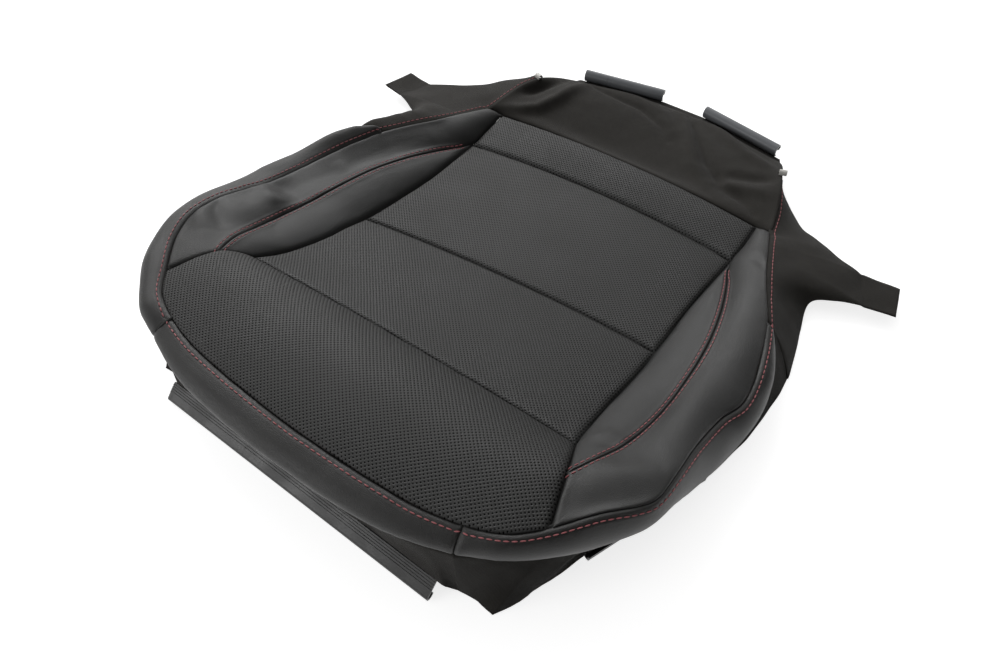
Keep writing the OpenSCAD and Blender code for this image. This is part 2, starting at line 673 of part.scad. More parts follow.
front_panel();
insert_panel(0);  // insert_front
insert_panel(1);  // insert_middle
insert_panel(2);  // insert_rear
bolster_inner(-1);  // bolster_inner_left
bolster_inner(1);  // bolster_inner_right
bolster_outer(-1);  // bolster_outer_left
bolster_outer(1);  // bolster_outer_right
front_panel_foam();
insert_foam(0);  // insert_front_foam
insert_foam(1);  // insert_middle_foam
insert_foam(2);  // insert_rear_foam
bolster_inner_foam(-1);  // bolster_inner_foam_left
bolster_inner_foam(1);  // bolster_inner_foam_right
bolster_outer_foam(-1);  // bolster_outer_foam_left
bolster_outer_foam(1);  // bolster_outer_foam_right
front_facing();
side_facing(-1);  // side_facing_left
side_facing(1);  // side_facing_right
fabric_sheet(front_band_surface(), grid_front, skirt_m);  // front_band
on_side(-1) side_skirt();  // side_skirt_left
on_side(1) side_skirt();  // side_skirt_right
on_side(-1) rear_gusset(-1);  // rear_gusset_left
on_side(1) rear_gusset(1);  // rear_gusset_right
rear_panel();
color(fabric) listing(cross_listing(0));  // listing_front
color(fabric) listing(cross_listing(1));  // listing_middle
color(fabric) listing(cross_listing(2));  // listing_rear
on_side(-1) color(fabric) listing(side_listing(-1));  // listing_left
on_side(1) color(fabric) listing(side_listing(1));  // listing_right
color(plastic) listing_rod(cross_listing(0));  // rod_front
color(plastic) listing_rod(cross_listing(1));  // rod_middle
color(plastic) listing_rod(cross_listing(2));  // rod_rear
on_side(-1) color(plastic) listing_rod(side_listing(-1));  // rod_left
on_side(1) color(plastic) listing_rod(side_listing(1));  // rod_right
corner_clip(1);
on_side(-1) corner_clip(-1);  // corner_clip_left
front_retainer();
front_retainer_tape();
on_side(-1) rear_clip();  // rear_clip_left
on_side(1) rear_clip();  // rear_clip_right
on_side(-1) rear_clip_tape();  // rear_clip_tape_left
on_side(1) rear_clip_tape();  // rear_clip_tape_right
on_side(-1) side_retainer();  // side_retainer_left
on_side(1) side_retainer();  // side_retainer_right
on_side(-1) side_retainer_tape();  // side_retainer_tape_left
on_side(1) side_retainer_tape();  // side_retainer_tape_right
on_side(-1) ear_tab();  // ear_tab_left
on_side(1) ear_tab();  // ear_tab_right
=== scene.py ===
# %% [markdown]
# # A sewn trim cover for a sport seat's cushion
# The cover is leather on top, black fabric behind and below, and has plastic profiles
# on its edges that hook onto the seat. The CAD model gives every piece its place.
# This script dresses it: each panel is bent again from its seam lines, but finely, so that
# it can roll down into its seams, carry its stitches and wrinkle like the real material.

# %% Load the frame
import json
import math
from types import SimpleNamespace

import bmesh
import bpy
import numpy as np
from mathutils import Matrix, Vector, noise

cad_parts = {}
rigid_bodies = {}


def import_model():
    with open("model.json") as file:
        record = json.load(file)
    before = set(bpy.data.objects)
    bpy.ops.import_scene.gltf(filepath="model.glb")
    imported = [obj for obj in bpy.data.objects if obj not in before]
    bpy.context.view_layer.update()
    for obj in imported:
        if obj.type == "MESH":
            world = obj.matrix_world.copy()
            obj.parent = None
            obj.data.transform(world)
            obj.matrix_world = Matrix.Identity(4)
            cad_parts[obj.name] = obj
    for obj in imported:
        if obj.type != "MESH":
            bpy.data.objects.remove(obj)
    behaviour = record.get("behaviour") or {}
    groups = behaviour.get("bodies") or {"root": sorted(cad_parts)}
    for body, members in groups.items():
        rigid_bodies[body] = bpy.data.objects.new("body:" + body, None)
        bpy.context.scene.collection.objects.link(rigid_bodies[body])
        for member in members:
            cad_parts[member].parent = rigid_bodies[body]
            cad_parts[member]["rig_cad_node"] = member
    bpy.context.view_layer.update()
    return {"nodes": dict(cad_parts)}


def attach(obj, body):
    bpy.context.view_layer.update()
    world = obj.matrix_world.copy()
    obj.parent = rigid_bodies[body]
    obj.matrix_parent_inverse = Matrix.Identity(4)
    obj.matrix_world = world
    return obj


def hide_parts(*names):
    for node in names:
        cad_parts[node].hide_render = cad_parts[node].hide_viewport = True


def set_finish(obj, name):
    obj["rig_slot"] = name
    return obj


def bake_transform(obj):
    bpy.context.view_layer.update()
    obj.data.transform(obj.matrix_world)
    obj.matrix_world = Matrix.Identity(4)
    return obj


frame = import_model()
scene = bpy.context.scene
MM = 0.001
SIDES = {"left": -1, "right": 1}

# %% [markdown]
# ## Camera
# The cover is seen from above its right front corner. The camera is turned by its own
# three axes, which is exact and needs no tracking constraint.

# %% Camera
EYE = Vector((0.32143, -0.46277, 0.56861))
EYE_RIGHT = Vector((0.79710, 0.60381, -0.00604))
EYE_UP = Vector((-0.45970, 0.61328, 0.64231))
SENSOR, LENS = 36, 28.48
camera_data = bpy.data.cameras.new("camera")
camera_data.sensor_width, camera_data.lens = SENSOR, LENS
camera = bpy.data.objects.new("camera", camera_data)
camera.rotation_mode = "QUATERNION"
camera.location = EYE
eye_axes = Matrix((EYE_RIGHT, EYE_UP, EYE_RIGHT.cross(EYE_UP))).transposed()
camera.rotation_quaternion = eye_axes.to_quaternion()
scene.collection.objects.link(camera)
scene.camera = camera
print("camera at", [round(c, 3) for c in EYE])

# %% [markdown]
# ## Lines and sheets
# A pattern cutter draws a cover as flat panels, and sewing bends them. Here it goes the
# other way round: each seam is a smooth line in space, and a panel is the sheet that its
# four seams stretch, raised in the middle by its foam. Lengths are in millimetres until a
# mesh is made.

# %% Lines in space
def mix(a, b, t):
    return a + (b - a) * t


def smooth(points, k=8):
    """A smooth line through all the points, with k steps between two of them."""
    p = np.asarray(points, float)
    n = len(p) - 1
    i = np.repeat(np.arange(n), k)
    t = np.tile(np.arange(k) / k, n)[:, None]
    a, b, c, d = p[np.maximum(i - 1, 0)], p[i], p[i + 1], p[np.minimum(i + 2, n)]
    line = 2 * b + (c - a) * t + (2 * a - 5 * b + 4 * c - d) * t**2 + (3 * b - a - 3 * c + d) * t**3
    return np.vstack([0.5 * line, p[-1]])


def run(line):
    """Distance along a line at each of its points."""
    return np.concatenate([[0], np.cumsum(np.linalg.norm(np.diff(line, axis=0), axis=1))])


def read_at(at, s, line):
    """What a line holds at some distances, where s is the distance of each of its points."""
    return np.stack([np.interp(at, s, line[:, axis]) for axis in range(line.shape[1])], -1)


def spread(line, n):
    """The same line with n + 1 points at equal distances."""
    s = run(line)
    return read_at(np.linspace(0, s[-1], n + 1), s, line)


def even(points, n=160):
    return spread(smooth(points), n)


def on(rail, t):
    """The points of a rail at shares t of its count of points."""
    k = np.clip(t, 0, 1) * (len(rail) - 1)
    i = np.minimum(k.astype(int), len(rail) - 2)
    return mix(rail[i], rail[i + 1], (k - i)[..., None])


def flip(points):
    return np.asarray(points, float) * (-1, 1, 1)


def join(*lines):
    """Lines end to end, each shared end once."""
    first, *others = (np.asarray(line, float) for line in lines)
    return np.vstack([first] + [line[1:] for line in others])


# %% Directions
TUCK = 1.1


def units(v):
    return v / np.maximum(np.linalg.norm(v, axis=-1, keepdims=True), 1e-9)


def square_to(rail):
    """Level directions square to a rail, to the left of its run."""
    d = np.gradient(np.asarray(rail, float), axis=0)
    return units(np.stack([-d[:, 1], d[:, 0], np.zeros(len(d))], -1))


def tucked(rail, side):
    """A rail moved under the panel that lies on that side of it, so that no gap stays open."""
    return rail + TUCK * side * square_to(rail) - (0, 0, TUCK)


def grid_normals(places):
    return units(np.cross(np.gradient(places, axis=0), np.gradient(places, axis=1)))


# %% A sheet stretched between four rails
def bump(t, power):
    """A rise from 0 at both ends to 1 at the middle, steeper as the power is smaller."""
    return np.ones_like(t) if power == 0 else np.maximum(np.sin(np.pi * t), 0) ** power


def look_up(u, table):
    """A number that is the same along u, or a table of (u, number)."""
    return np.interp(u, *np.transpose(table)) if np.ndim(table) else np.full(u.shape, float(table))


class Patch:
    """Rails near and far run along u, start and end join them along v, and the crown lifts the middle.

    The crown is a height in mm along the sheet's normal. Its lift turns that upwards."""

    STEP = 0.02

    def __init__(self, near, far, start=None, end=None, crown=0.0, power=(0.4, 0.6), lift=0.0):
        self.near, self.far = near, far
        self.start = np.array([near[0], far[0]]) if start is None else start
        self.end = np.array([near[-1], far[-1]]) if end is None else end
        self.crown, self.power, self.lift = crown, power, lift

    def taut(self, u, v):
        """The sheet without its crown."""
        uu, vv = u[..., None], v[..., None]
        corners = mix(self.near[0], self.far[0], vv) * (1 - uu) + mix(self.near[-1], self.far[-1], vv) * uu
        sides = on(self.start, v) * (1 - uu) + on(self.end, v) * uu
        return on(self.near, u) * (1 - vv) + on(self.far, u) * vv + sides - corners

    def places(self, us, vs):
        u, v = np.meshgrid(us, vs, indexing="ij")
        along = self.taut(np.minimum(u + self.STEP, 1), v) - self.taut(np.maximum(u - self.STEP, 0), v)
        across = self.taut(u, np.minimum(v + self.STEP, 1)) - self.taut(u, np.maximum(v - self.STEP, 0))
        normal = units(np.cross(along, across))
        height = look_up(u, self.crown) * bump(u, self.power[0]) * bump(v, self.power[1])
        lift = look_up(u, self.lift)[..., None] * (0, 0, 1)
        return self.taut(u, v) + height[..., None] * (normal + lift)


# %% [markdown]
# ## Seam lines of the cover
# These are the lines that a tailor would chalk. They repeat the CAD model's lines, which
# this script can't read. All are on the right-hand side, and the left mirrors them.

# %% Seam lines of the top
insert_seam = [
    (163, 190, 18), (164, 150, 11), (163, 122, 8), (161, 80, 9), (160, 38, 10),
    (162, -5, 13), (164, -50, 18), (165, -84, 26), (165, -115, 33), (167, -145, 42),
    (170, -169, 51), (174, -192, 64),
]
double_seam = [
    (168, 104, 8), (177, 84, 13), (190, 43, 23), (200, -2, 31), (205, -45, 36),
    (207, -90, 41), (206, -125, 49), (202, -158, 60), (195, -187, 73), (186, -212, 80),
]
outer_rear = [(180, 172, 21), (193, 136, 28), (206, 101, 33), (220, 70, 37), (232, 42, 39)]
# The right side is pulled in and out a little more than the left
outer_side = {
    "left": [
        (232, 42, 39), (243, 4, 40), (250, -28, 40), (253, -61, 43), (252, -100, 52),
        (250, -133, 65), (248, -164, 76), (242, -197, 82), (226, -228, 83), (202, -256, 82),
    ],
    "right": [
        (233, 42, 39), (245, 4, 40), (253, -30, 40), (255, -57, 43), (249, -80, 47), (247, -105, 54),
        (247, -132, 64), (249, -164, 75), (249, -190, 80), (242, -205, 82), (224, -226, 83), (202, -256, 82),
    ],
}
outer_corner = [(202, -256, 82), (182, -276, 82), (155, -288, 81)]
front_half = [(155, -288, 81), (120, -296, 80), (80, -300, 80), (40, -302, 80), (0, -303, 80)]

# %% Seam lines of the facings, the band and the skirts
facing_low = [
    (238, 43, 34), (250, 24, 27), (260, 0, 21), (266, -30, 13), (265, -68, 10),
    (260, -105, 11), (254, -140, 20), (244, -180, 31), (233, -212, 36), (218, -239, 42),
    (198, -264, 50), (176, -286, 58), (157, -303, 65),
]
front_low_half = [(157, -303, 65), (110, -316, 62), (60, -322, 62), (0, -324, 62)]
band_foot = [(-150, -309, 16), (0, -309, 16), (150, -309, 16)]
# On the right the band reaches down to the skirt's corner
band_corner = (157, -302, 4)
skirt_low_side = [
    (268, 28, 0), (270, 0, 0), (268, -40, 0), (263, -80, 0), (255, -118, 0), (243, -152, 0),
    (229, -187, 0), (216, -219, 0), (208, -246, 0), (198, -276, 0), (187, -300, 0),
]
skirt_low_front = [(187, -300, 0), (172, -299, 0), (157, -302, 4)]

# %% Seam lines of the rear panel and the gussets
# Corner seams between the two. The left one ends further out.
corner_seam = {
    "left": [(180, 172, 21), (176, 200, 25), (171, 226, 28), (163, 250, 27)],
    "right": [(180, 172, 21), (173, 200, 24), (163, 228, 29), (153, 255, 27)],
}
gusset_sewn = [
    (184, 162, 23), (187, 152, 25), (193, 136, 28), (198, 122, 30), (206, 101, 33), (213, 86, 35),
    (220, 70, 37), (231, 48, 39), (237, 41.5, 36),
]
gusset_rear = {
    "left": [(172, 258, 24), (185, 250, 20), (205, 232, 16), (224, 212, 14), (247, 193, 14)],
    "right": [(147, 268, 4), (168, 247, 1), (194, 222, 1), (216, 205, 7), (244, 187, 14)],
}
gusset_front = [
    (274, 175, 14), (290, 136, 14), (268, 127, 14), (249, 115, 10), (254, 88, 1), (260, 62, 1),
    (267, 36, 1), (269, 26, 1),
]
ear_tip = [(311, 180, 14), (320, 142, 14)]
rear_shoulder = {"left": (152, 275, 19), "right": (145, 278, 19)}
rear_hem = [(136.5, 295.5, 10), (134, 301, 9.5)]
rear_edge = {word: corner_seam[word] + [rear_shoulder[word]] + rear_hem for word in SIDES}
rear_middle = [
    (0, 186, 16), (0, 206, 6), (0, 236, 9), (0, 272, 15), (0, 304, 15), (0, 314, 10.2), (0, 321, 9.5),
]

# %% Cross seams of the insert
# Their place, their skew from middle to end, and their bow at the middle
cross_y = [-181, -43, 121, 177]
cross_skew = [8, 14, 3, 0]
cross_bow = [4, 8, 12, 9]
# The double seam runs out into the insert's seam here
DOUBLE_END = 122
insert_line = smooth(insert_seam)[::-1]


def insert_at(y):
    return read_at(y, insert_line[:, 1], insert_line)


def cross_end(k, side):
    return cross_y[k] + side * cross_skew[k]


def cross_seam(k, n=160):
    u = np.linspace(-1, 1, n + 1)
    y = cross_y[k] + cross_skew[k] * u + cross_bow[k] * (1 - u**2)
    return insert_at(y) * np.stack([u, np.ones_like(u), np.ones_like(u)], -1)


print("cross seams, mm long", [round(run(cross_seam(k))[-1]) for k in range(len(cross_y))])

# %% [markdown]
# ## What a seam does to a panel
# Two panels are sewn face to face and opened, so both roll down into the seam. Their
# allowances, folded under them, make a low ridge beside it, and a row of topstitching
# presses a narrow channel into that ridge.
#
# Where a seam pulls its panels depends on the corner that it lies in: straight down
# between two panels of the top, down and inwards at the top's outer edge, and inwards on
# an upright edge. A facing or gusset is tucked under the top's edge besides, so that no gap
# opens where the two are bent differently.

# %% How deep and how wide a panel rolls down, in mm, by the kind of its edge
ROLL = {
    "plain": (3.4, 2.4), "double": (1.9, 1.2), "outer": (2.0, 1.5), "top": (2.0, 0.9), "low": (1.6, 1.4),
    "post": (2.6, 1.6), "flat": (0, 1),
}
CENTRE = np.array([0, -60, 0])


def roll(distance, kind):
    depth, width = ROLL[kind]
    return depth * np.exp(-((distance / width) ** 1.25))


def pull(line, kind):
    """Which way a seam pulls the panel's edge, at each point of that edge."""
    down = np.tile([0.0, 0.0, -1.0], (len(line), 1))
    if kind in ("plain", "double"):
        return down
    inward = square_to(line)
    inward *= np.sign(((CENTRE - line) * inward).sum(-1, keepdims=True))
    if kind == "post":
        inward = units((CENTRE - line) * (1, 1, 0))
    return units(inward + down) if kind in ("outer", "top") else inward


# %% Topstitched edges: where the row lies, in mm from the edge, and how high its ridge is
ROW_AT = {"double": 4.3, "top": 5.2}
RIDGE = {"double": 0.6, "top": 0.35}
RIDGE_PAST_ROW, RIDGE_SOFT = 3.0, 0.9
# The double seam's rows fade in and out between these places in y
DOUBLE_ROWS = (-208, -194, DOUBLE_END - 22, DOUBLE_END - 12)


def stitched(line, kind):
    """How much of the edge has topstitching."""
    return np.interp(line[:, 1], DOUBLE_ROWS, (0, 1, 1, 0)) if kind == "double" else np.ones(len(line))


def ridge(distance, kind):
    past = distance - ROW_AT[kind]
    channel = np.exp(-((past / RIDGE_SOFT) ** 2))
    return RIDGE[kind] * (1 / (1 + np.exp((past - RIDGE_PAST_ROW) / RIDGE_SOFT)) - channel)


# %% Rows of the grid, which are closer together at the seams
FINE = np.array([0, 0.5, 1.1, 1.8, 2.6, 3.4, 4.2, 5.0, 5.8, 6.6, 7.4, 8.4, 10.0, 12.0])
NEARLY_HALF = 0.42


def rows(length, coarse=4.0):
    """Places from 0 to 1 across a panel of that length."""
    near = FINE[FINE < NEARLY_HALF * length]
    count = max(int(round((length - 2 * near[-1]) / coarse)), 1)
    middle = np.linspace(near[-1], length - near[-1], count + 1)
    return np.concatenate([near[:-1], middle, (length - near[:-1])[::-1]]) / length


def grid_for(length, width, coarse=4.0):
    return rows(length, coarse), rows(width, coarse)


def edge_distances(places):
    """Distance of each point from the edges v = 0, v = 1, u = 0 and u = 1."""
    across = np.linalg.norm(np.diff(places, axis=1), axis=2)
    along = np.linalg.norm(np.diff(places, axis=0), axis=2)
    v0 = np.concatenate([np.zeros((len(places), 1)), np.cumsum(across, axis=1)], axis=1)
    u0 = np.concatenate([np.zeros((1, places.shape[1])), np.cumsum(along, axis=0)], axis=0)
    return v0, v0[:, -1:] - v0, u0, u0[-1:, :] - u0


print("rows on a panel of 400 by 45 mm", [len(line) for line in grid_for(400, 45)])

# %% [markdown]
# ## Creases and unevenness
# Leather over thin foam is never fair: it hollows and creases where the cover is bent,
# and fabric folds where it is slack. A crease is a soft valley or ridge along a line in
# plan, and slow noise takes care of the rest. The noise has no random seed, so it always
# comes out the same. Both fade towards a seam, which thread holds in place.

# %% Creases and noise
def crease(places, points, width, height):
    """Height of a soft ridge, or valley if negative, along a line of points (x, y)."""
    line = np.asarray(points, float)
    best, share = np.full(places.shape[:2], np.inf), np.zeros(places.shape[:2])
    passed = run(line)
    for a, b, start in zip(line[:-1], line[1:], passed):
        d = b - a
        t = np.clip((places[..., :2] - a) @ d / (d @ d), 0, 1)
        away = np.linalg.norm(places[..., :2] - (a + t[..., None] * d), axis=-1)
        share = np.where(away < best, (start + t * np.linalg.norm(d)) / passed[-1], share)
        best = np.minimum(away, best)
    return height * np.exp(-((best / width) ** 2)) * np.sin(np.pi * np.clip(share, 0.05, 0.95)) ** 0.6


def unevenness(places, size, height, shift=0.0):
    """Slow noise, with bumps about size mm across."""
    spots = places.reshape(-1, 3) / size + (shift, 0, 0)
    return height * np.array([noise.noise(Vector(spot)) for spot in spots]).reshape(places.shape[:-1])


def freed(distance, reach):
    """How free a sheet is: 0 at its seam, and nearly 1 twice the reach away."""
    return 1 - np.exp(-((distance / reach) ** 2))


# %% [markdown]
# ## From a sheet to a mesh
# A grid operator gives the faces, and its vertices are then bent onto the sheet. The UV
# map is in metres on the cloth, so a weave or a perforation keeps its size wherever the
# panel goes. The distance to the nearest seam is kept as an attribute for the materials.

# %% Meshes of sheets
FAR_FROM_SEAM = 99.0


def lay_flat(places):
    """UV from the lengths along and across the sheet, measured from its middle."""
    v0, _, u0, _ = edge_distances(places)
    return np.stack([u0 - u0[-1:, :] / 2, v0 - v0[:, -1:] / 2], -1)


def add_grid(bm, places, seam=FAR_FROM_SEAM, uv=None):
    map_uv = bm.loops.layers.uv.verify()
    from_seam = bm.verts.layers.float.get("seam") or bm.verts.layers.float.new("seam")
    uv = lay_flat(places) if uv is None else uv
    seam = np.broadcast_to(seam, places.shape[:2])
    nu, nv = places.shape[0] - 1, places.shape[1] - 1
    grid = bmesh.ops.create_grid(bm, x_segments=nu, y_segments=nv, size=1)["verts"]
    index = {}
    for vert in grid:
        spot = int(round((vert.co.x + 1) / 2 * nu)), int(round((vert.co.y + 1) / 2 * nv))
        index[vert] = spot
        vert[from_seam] = seam[spot]
        vert.co = places[spot] * MM
    for face in {face for vert in grid for face in vert.link_faces}:
        face.smooth = True
        for loop in face.loops:
            loop[map_uv].uv = uv[index[loop.vert]] * MM


def finish_mesh(name, bm, side=1):
    """Makes the object, mirrored if it is on the left."""
    if side < 0:
        for vert in bm.verts:
            vert.co.x = -vert.co.x
        bmesh.ops.reverse_faces(bm, faces=bm.faces)
    mesh = bpy.data.meshes.new(name)
    bm.to_mesh(mesh)
    bm.free()
    piece = bpy.data.objects.new(name, mesh)
    scene.collection.objects.link(piece)
    return piece


INWARDS, BOTH_WAYS = -1, 0


def thicken(piece, thickness, offset=INWARDS):
    """A wall of that thickness, grown from the sheet."""
    wall = piece.modifiers.new("thickness", "SOLIDIFY")
    wall.thickness = thickness * MM
    wall.offset = offset


def declare_sheet(grids):
    """Works out how large the flat cloth was; the result is not kept."""
    distances = [edge_distances(places) for places in grids]
    width = max(d[0][:, -1].max() for d in distances)
    length = max(d[2][-1, :].max() for d in distances)
    area = 0.0
    for places in grids:
        along, across = np.diff(places, axis=0)[:, :-1], np.diff(places, axis=1)[:-1]
        area += np.linalg.norm(np.cross(along, across), axis=-1).sum()
    width = max(width, area / length)


# %% [markdown]
# ## From a patch to a panel
# A panel is shaped in one go: it rolls into its seams, gets its ridges, and then its
# creases and unevenness, which move it along its own normals. Its foam is the same sheet
# again, further in and kept back from the seams.

# %% Panels
LEATHER, FABRIC, FOAM, LAYER_GAP = 1.2, 1.0, 2.6, 0.3
# Small puckers beside a seam: their size and height, and how far they reach
PUCKER_SIZE, PUCKER_HEIGHT, PUCKER_REACH = 9, 0.5, 9
# How far a seam keeps a sheet from being uneven, creased or folded
UNEVEN_FREE, CREASE_FREE, FOLD_FREE = 12, 6, 9
panels = {}


def bent(places, distances=None, nearest=FAR_FROM_SEAM):
    """What later steps need to know of a sheet."""
    return SimpleNamespace(places=places, normals=grid_normals(places), distances=distances, nearest=nearest)


def shape_panel(patch, grid, edges, uneven, shift, hills=()):
    """Bends a panel from its patch and gives it its seams, creases and unevenness."""
    places = patch.places(*grid)
    distances = edge_distances(places)
    lines = places[:, 0], places[:, -1], places[0], places[-1]
    move = np.zeros_like(places)
    height, deepest = np.zeros(places.shape[:2]), np.zeros(places.shape[:2])
    nearest = np.full(places.shape[:2], FAR_FROM_SEAM)
    for number, (distance, line, kind) in enumerate(zip(distances, lines, edges)):
        if kind == "free":
            continue
        along = (slice(None), None) if number < 2 else (None, slice(None))
        deepest = np.maximum(deepest, roll(distance, kind))
        move += roll(distance, kind)[..., None] * pull(line, kind)[along]
        if kind in ROW_AT:
            height += ridge(distance, kind) * stitched(line, kind)[along]
        nearest = np.minimum(nearest, distance)
    # Where two seams meet, together they pull no deeper than the deeper one
    moved = np.linalg.norm(move, axis=-1)
    move *= np.minimum(1, deepest / np.maximum(moved, 1e-6))[..., None]
    height += unevenness(places, *uneven, shift) * freed(nearest, UNEVEN_FREE)
    puckers = unevenness(places, PUCKER_SIZE, PUCKER_HEIGHT, shift)
    height += puckers * np.exp(-nearest / PUCKER_REACH) * (1 - np.exp(-nearest))
    for points, width, rise in hills:
        height += crease(places, points, width, rise) * freed(nearest, CREASE_FREE)
    return bent(places + move + height[..., None] * grid_normals(places), distances, nearest)


def make_panel(name, node, look, shaped, side=1, wall=(LEATHER,), uv=None):
    """A sheet of the cover, in place of that node."""
    bm = bmesh.new()
    add_grid(bm, shaped.places, shaped.nearest, uv)
    piece = finish_mesh(name, bm, side)
    thicken(piece, *wall)
    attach(piece, "cover")
    declare_sheet([shaped.places])
    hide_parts(node)
    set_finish(piece, look)
    shaped.side = side
    panels[name] = shaped


# %% Foam
# A pad starts this far from a seam, and has fewer lines of points than its panel
FOAM_INSET, FEWER_LINES = 5.0, 12


def make_foam(name, node, panel, ends=(6, 6)):
    """A foam pad under a panel, kept back from its seams. The ends are counted in rows."""
    under = panel.places - (LEATHER + LAYER_GAP) * panel.normals
    kept, count = slice(ends[0], -ends[1]), under.shape[1] - FEWER_LINES
    rails = []
    for line, s in zip(under[kept], panel.distances[0][kept]):
        inset = min(FOAM_INSET, NEARLY_HALF * s[-1])
        rails.append(read_at(np.linspace(inset, s[-1] - inset, count), s, line))
    bm = bmesh.new()
    add_grid(bm, np.array(rails))
    piece = finish_mesh(name, bm, panel.side)
    thicken(piece, FOAM)
    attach(piece, "cover")
    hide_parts(node)


# %% [markdown]
# ## The leather top
# Four perforated panels run across the seat, and two smooth ones lie on each bolster. A
# crowned panel rises steeply at its seams, as foam does that is held down by thread.

# %% Perforated panels
double_rail = even(double_seam)
outer_rail = {word: even(join(outer_rear[:-1], [outer_rear[-2], *outer_side[word]])) for word in SIDES}
front_right = join(front_half[::-1], outer_corner[::-1])
front_line = join(flip(front_right)[::-1], front_right)


def front_side(side):
    return even([insert_at(cross_end(0, side)), double_seam[-1], outer_corner[0]])[::-1]


def insert_patch(k):
    sides = [insert_at(np.linspace(cross_end(k, side), cross_end(k + 1, side), 80)) for side in (-1, 1)]
    return Patch(cross_seam(k), cross_seam(k + 1), flip(sides[0]), sides[1], crown=4, power=(0.3, 0.6))


front_ends = flip(front_side(-1)), front_side(1)
plain = ("plain",) * 3
perforated = {
    "front_panel": (Patch(even(front_line), cross_seam(0), *front_ends, crown=10), (560, 130), "outer"),
    "insert_front": (insert_patch(0), (330, 145), "plain"),
    "insert_middle": (insert_patch(1), (330, 165), "plain"),
    "insert_rear": (insert_patch(2), (330, 55), "plain"),
}
for number, (name, (patch, size, near_edge)) in enumerate(perforated.items()):
    shaped = shape_panel(patch, grid_for(*size), (near_edge, *plain), uneven=(70, 0.8), shift=7 * number)
    in_plan, pad = shaped.places[..., :2], f"{name}_pad"
    make_panel(f"{name}_leather", name, "perforated_leather", shaped, uv=in_plan)
    make_foam(pad, f"{name}_foam", shaped)
print("perforated panels", len(perforated))

# %% Dents and wrinkles of the bolsters
# Each is a line (x, y) on the right-hand panel, with a width and a height
creases = {
    "outer_left": [
        ([(236, -140), (230, -105), (225, -60), (217, -10), (205, 43), (191, 95)], 17, -10.0),
        ([(243, -120), (240, -80), (238, -45), (231, -2), (219, 43)], 12, -3.5),
        ([(252, -180), (234, -192), (214, -205)], 9, 4.0),
        ([(250, -164), (228, -178), (208, -188)], 6, -4.0),
        ([(250, -112), (233, -118), (212, -120)], 9, 5.0),
        ([(252, -88), (230, -92), (206, -98)], 11, -3.0),
        ([(238, -20), (226, -24), (214, -30)], 8, 2.0),
    ],
    "outer_right": [
        ([(176, 122), (190, 118), (204, 110)], 5, -1.6),
        ([(176, 134), (190, 130), (204, 122)], 6, 1.2),
        ([(192, -196), (215, -190), (242, -168)], 12, 3.5),
        ([(188, -236), (212, -226), (234, -206)], 13, -3.0),
    ],
    "inner_left": [([(180, -150), (192, -146), (203, -143)], 6, -0.8)],
    "inner_right": [
        ([(178, -170), (192, -163), (205, -157)], 4, -1.2),
        ([(176, -160), (190, -152), (202, -147)], 5, 1.0),
    ],
}

# %% Bolsters
for word, side in SIDES.items():
    seam_part = insert_at(np.linspace(DOUBLE_END, cross_end(0, side), 160))
    tip = seam_part[0] + (1, -2, 0)
    inner = Patch(seam_part, even(np.vstack([tip, double_seam])), crown=4, power=(0.5, 0.8))
    rear_part = insert_at(np.array([177, 150, DOUBLE_END]))
    outer = Patch(even(np.vstack([rear_part, double_seam])), outer_rail[word], crown=8, power=(0.4, 0.8))
    for layer, patch, size, seams, ends in (
        ("inner", inner, (330, 40), ("plain", "double"), (34, 8)),
        ("outer", outer, (420, 50), ("double", "outer"), (12, 8)),
    ):
        hills = creases[f"{layer}_{word}"]
        edges = *seams, "plain", "plain"
        shaped = shape_panel(patch, grid_for(*size, 3.5), edges, (45, 0.8), shift=20 + 30 * side, hills=hills)
        leather_name, pad = f"bolster_{layer}_leather_{word}", f"bolster_{layer}_pad_{word}"
        node = f"bolster_{layer}_{word}"
        make_panel(leather_name, node, "smooth_leather", shaped, side)
        make_foam(pad, f"bolster_{layer}_foam_{word}", shaped, ends)
print("panels so far", len(panels))

# %% [markdown]
# ## Facings, band and skirts
# The facings are the leather sides. A fabric band hangs from the front facing to the front
# retainer, and a fabric skirt from each side facing to the ground.

# %% Side facings
CORNER_OUT = units(np.array([0.25, -1, 0.3]))
corner_bulge = {"left": 10, "right": 4}
facing_swell = {
    "left": [
        (0, 6), (0.06, 12), (0.12, 14), (0.25, 17), (0.35, 21), (0.5, 21), (0.65, 20), (0.8, 16), (0.94, 8),
        (1, 0),
    ],
    "right": [(0, 0.8), (0.15, 6.8), (0.4, 8), (0.6, 7.6), (0.8, 7.2), (0.93, 5.6), (1, 0)],
}
facing_lift = {"left": 0.6, "right": 0.3}
edge_rail = {word: tucked(even(join(outer_side[word], outer_corner)), -1) for word in SIDES}
facing_rail = even(facing_low)
upright_ends = "post", "post"


def upright_seam(word, n=40):
    """The seam at the front corner, from its top down, that both facings share."""
    v = np.linspace(0, 1, n + 1)
    bulge = corner_bulge[word] * bump(v, 0.7)
    return mix(edge_rail[word][-1], facing_rail[-1], v[:, None]) + bulge[:, None] * CORNER_OUT


for word, side in SIDES.items():
    patch = Patch(
        edge_rail[word], facing_rail, end=upright_seam(word),
        crown=facing_swell[word], power=(0, 0.7), lift=facing_lift[word],
    )
    shaped = shape_panel(patch, grid_for(400, 45, 3.5), ("top", "low", *upright_ends), (40, 1.2), shift=side)
    make_panel(
        f"side_facing_leather_{word}", f"side_facing_{word}", "facing_leather", shaped,
        side,
    )

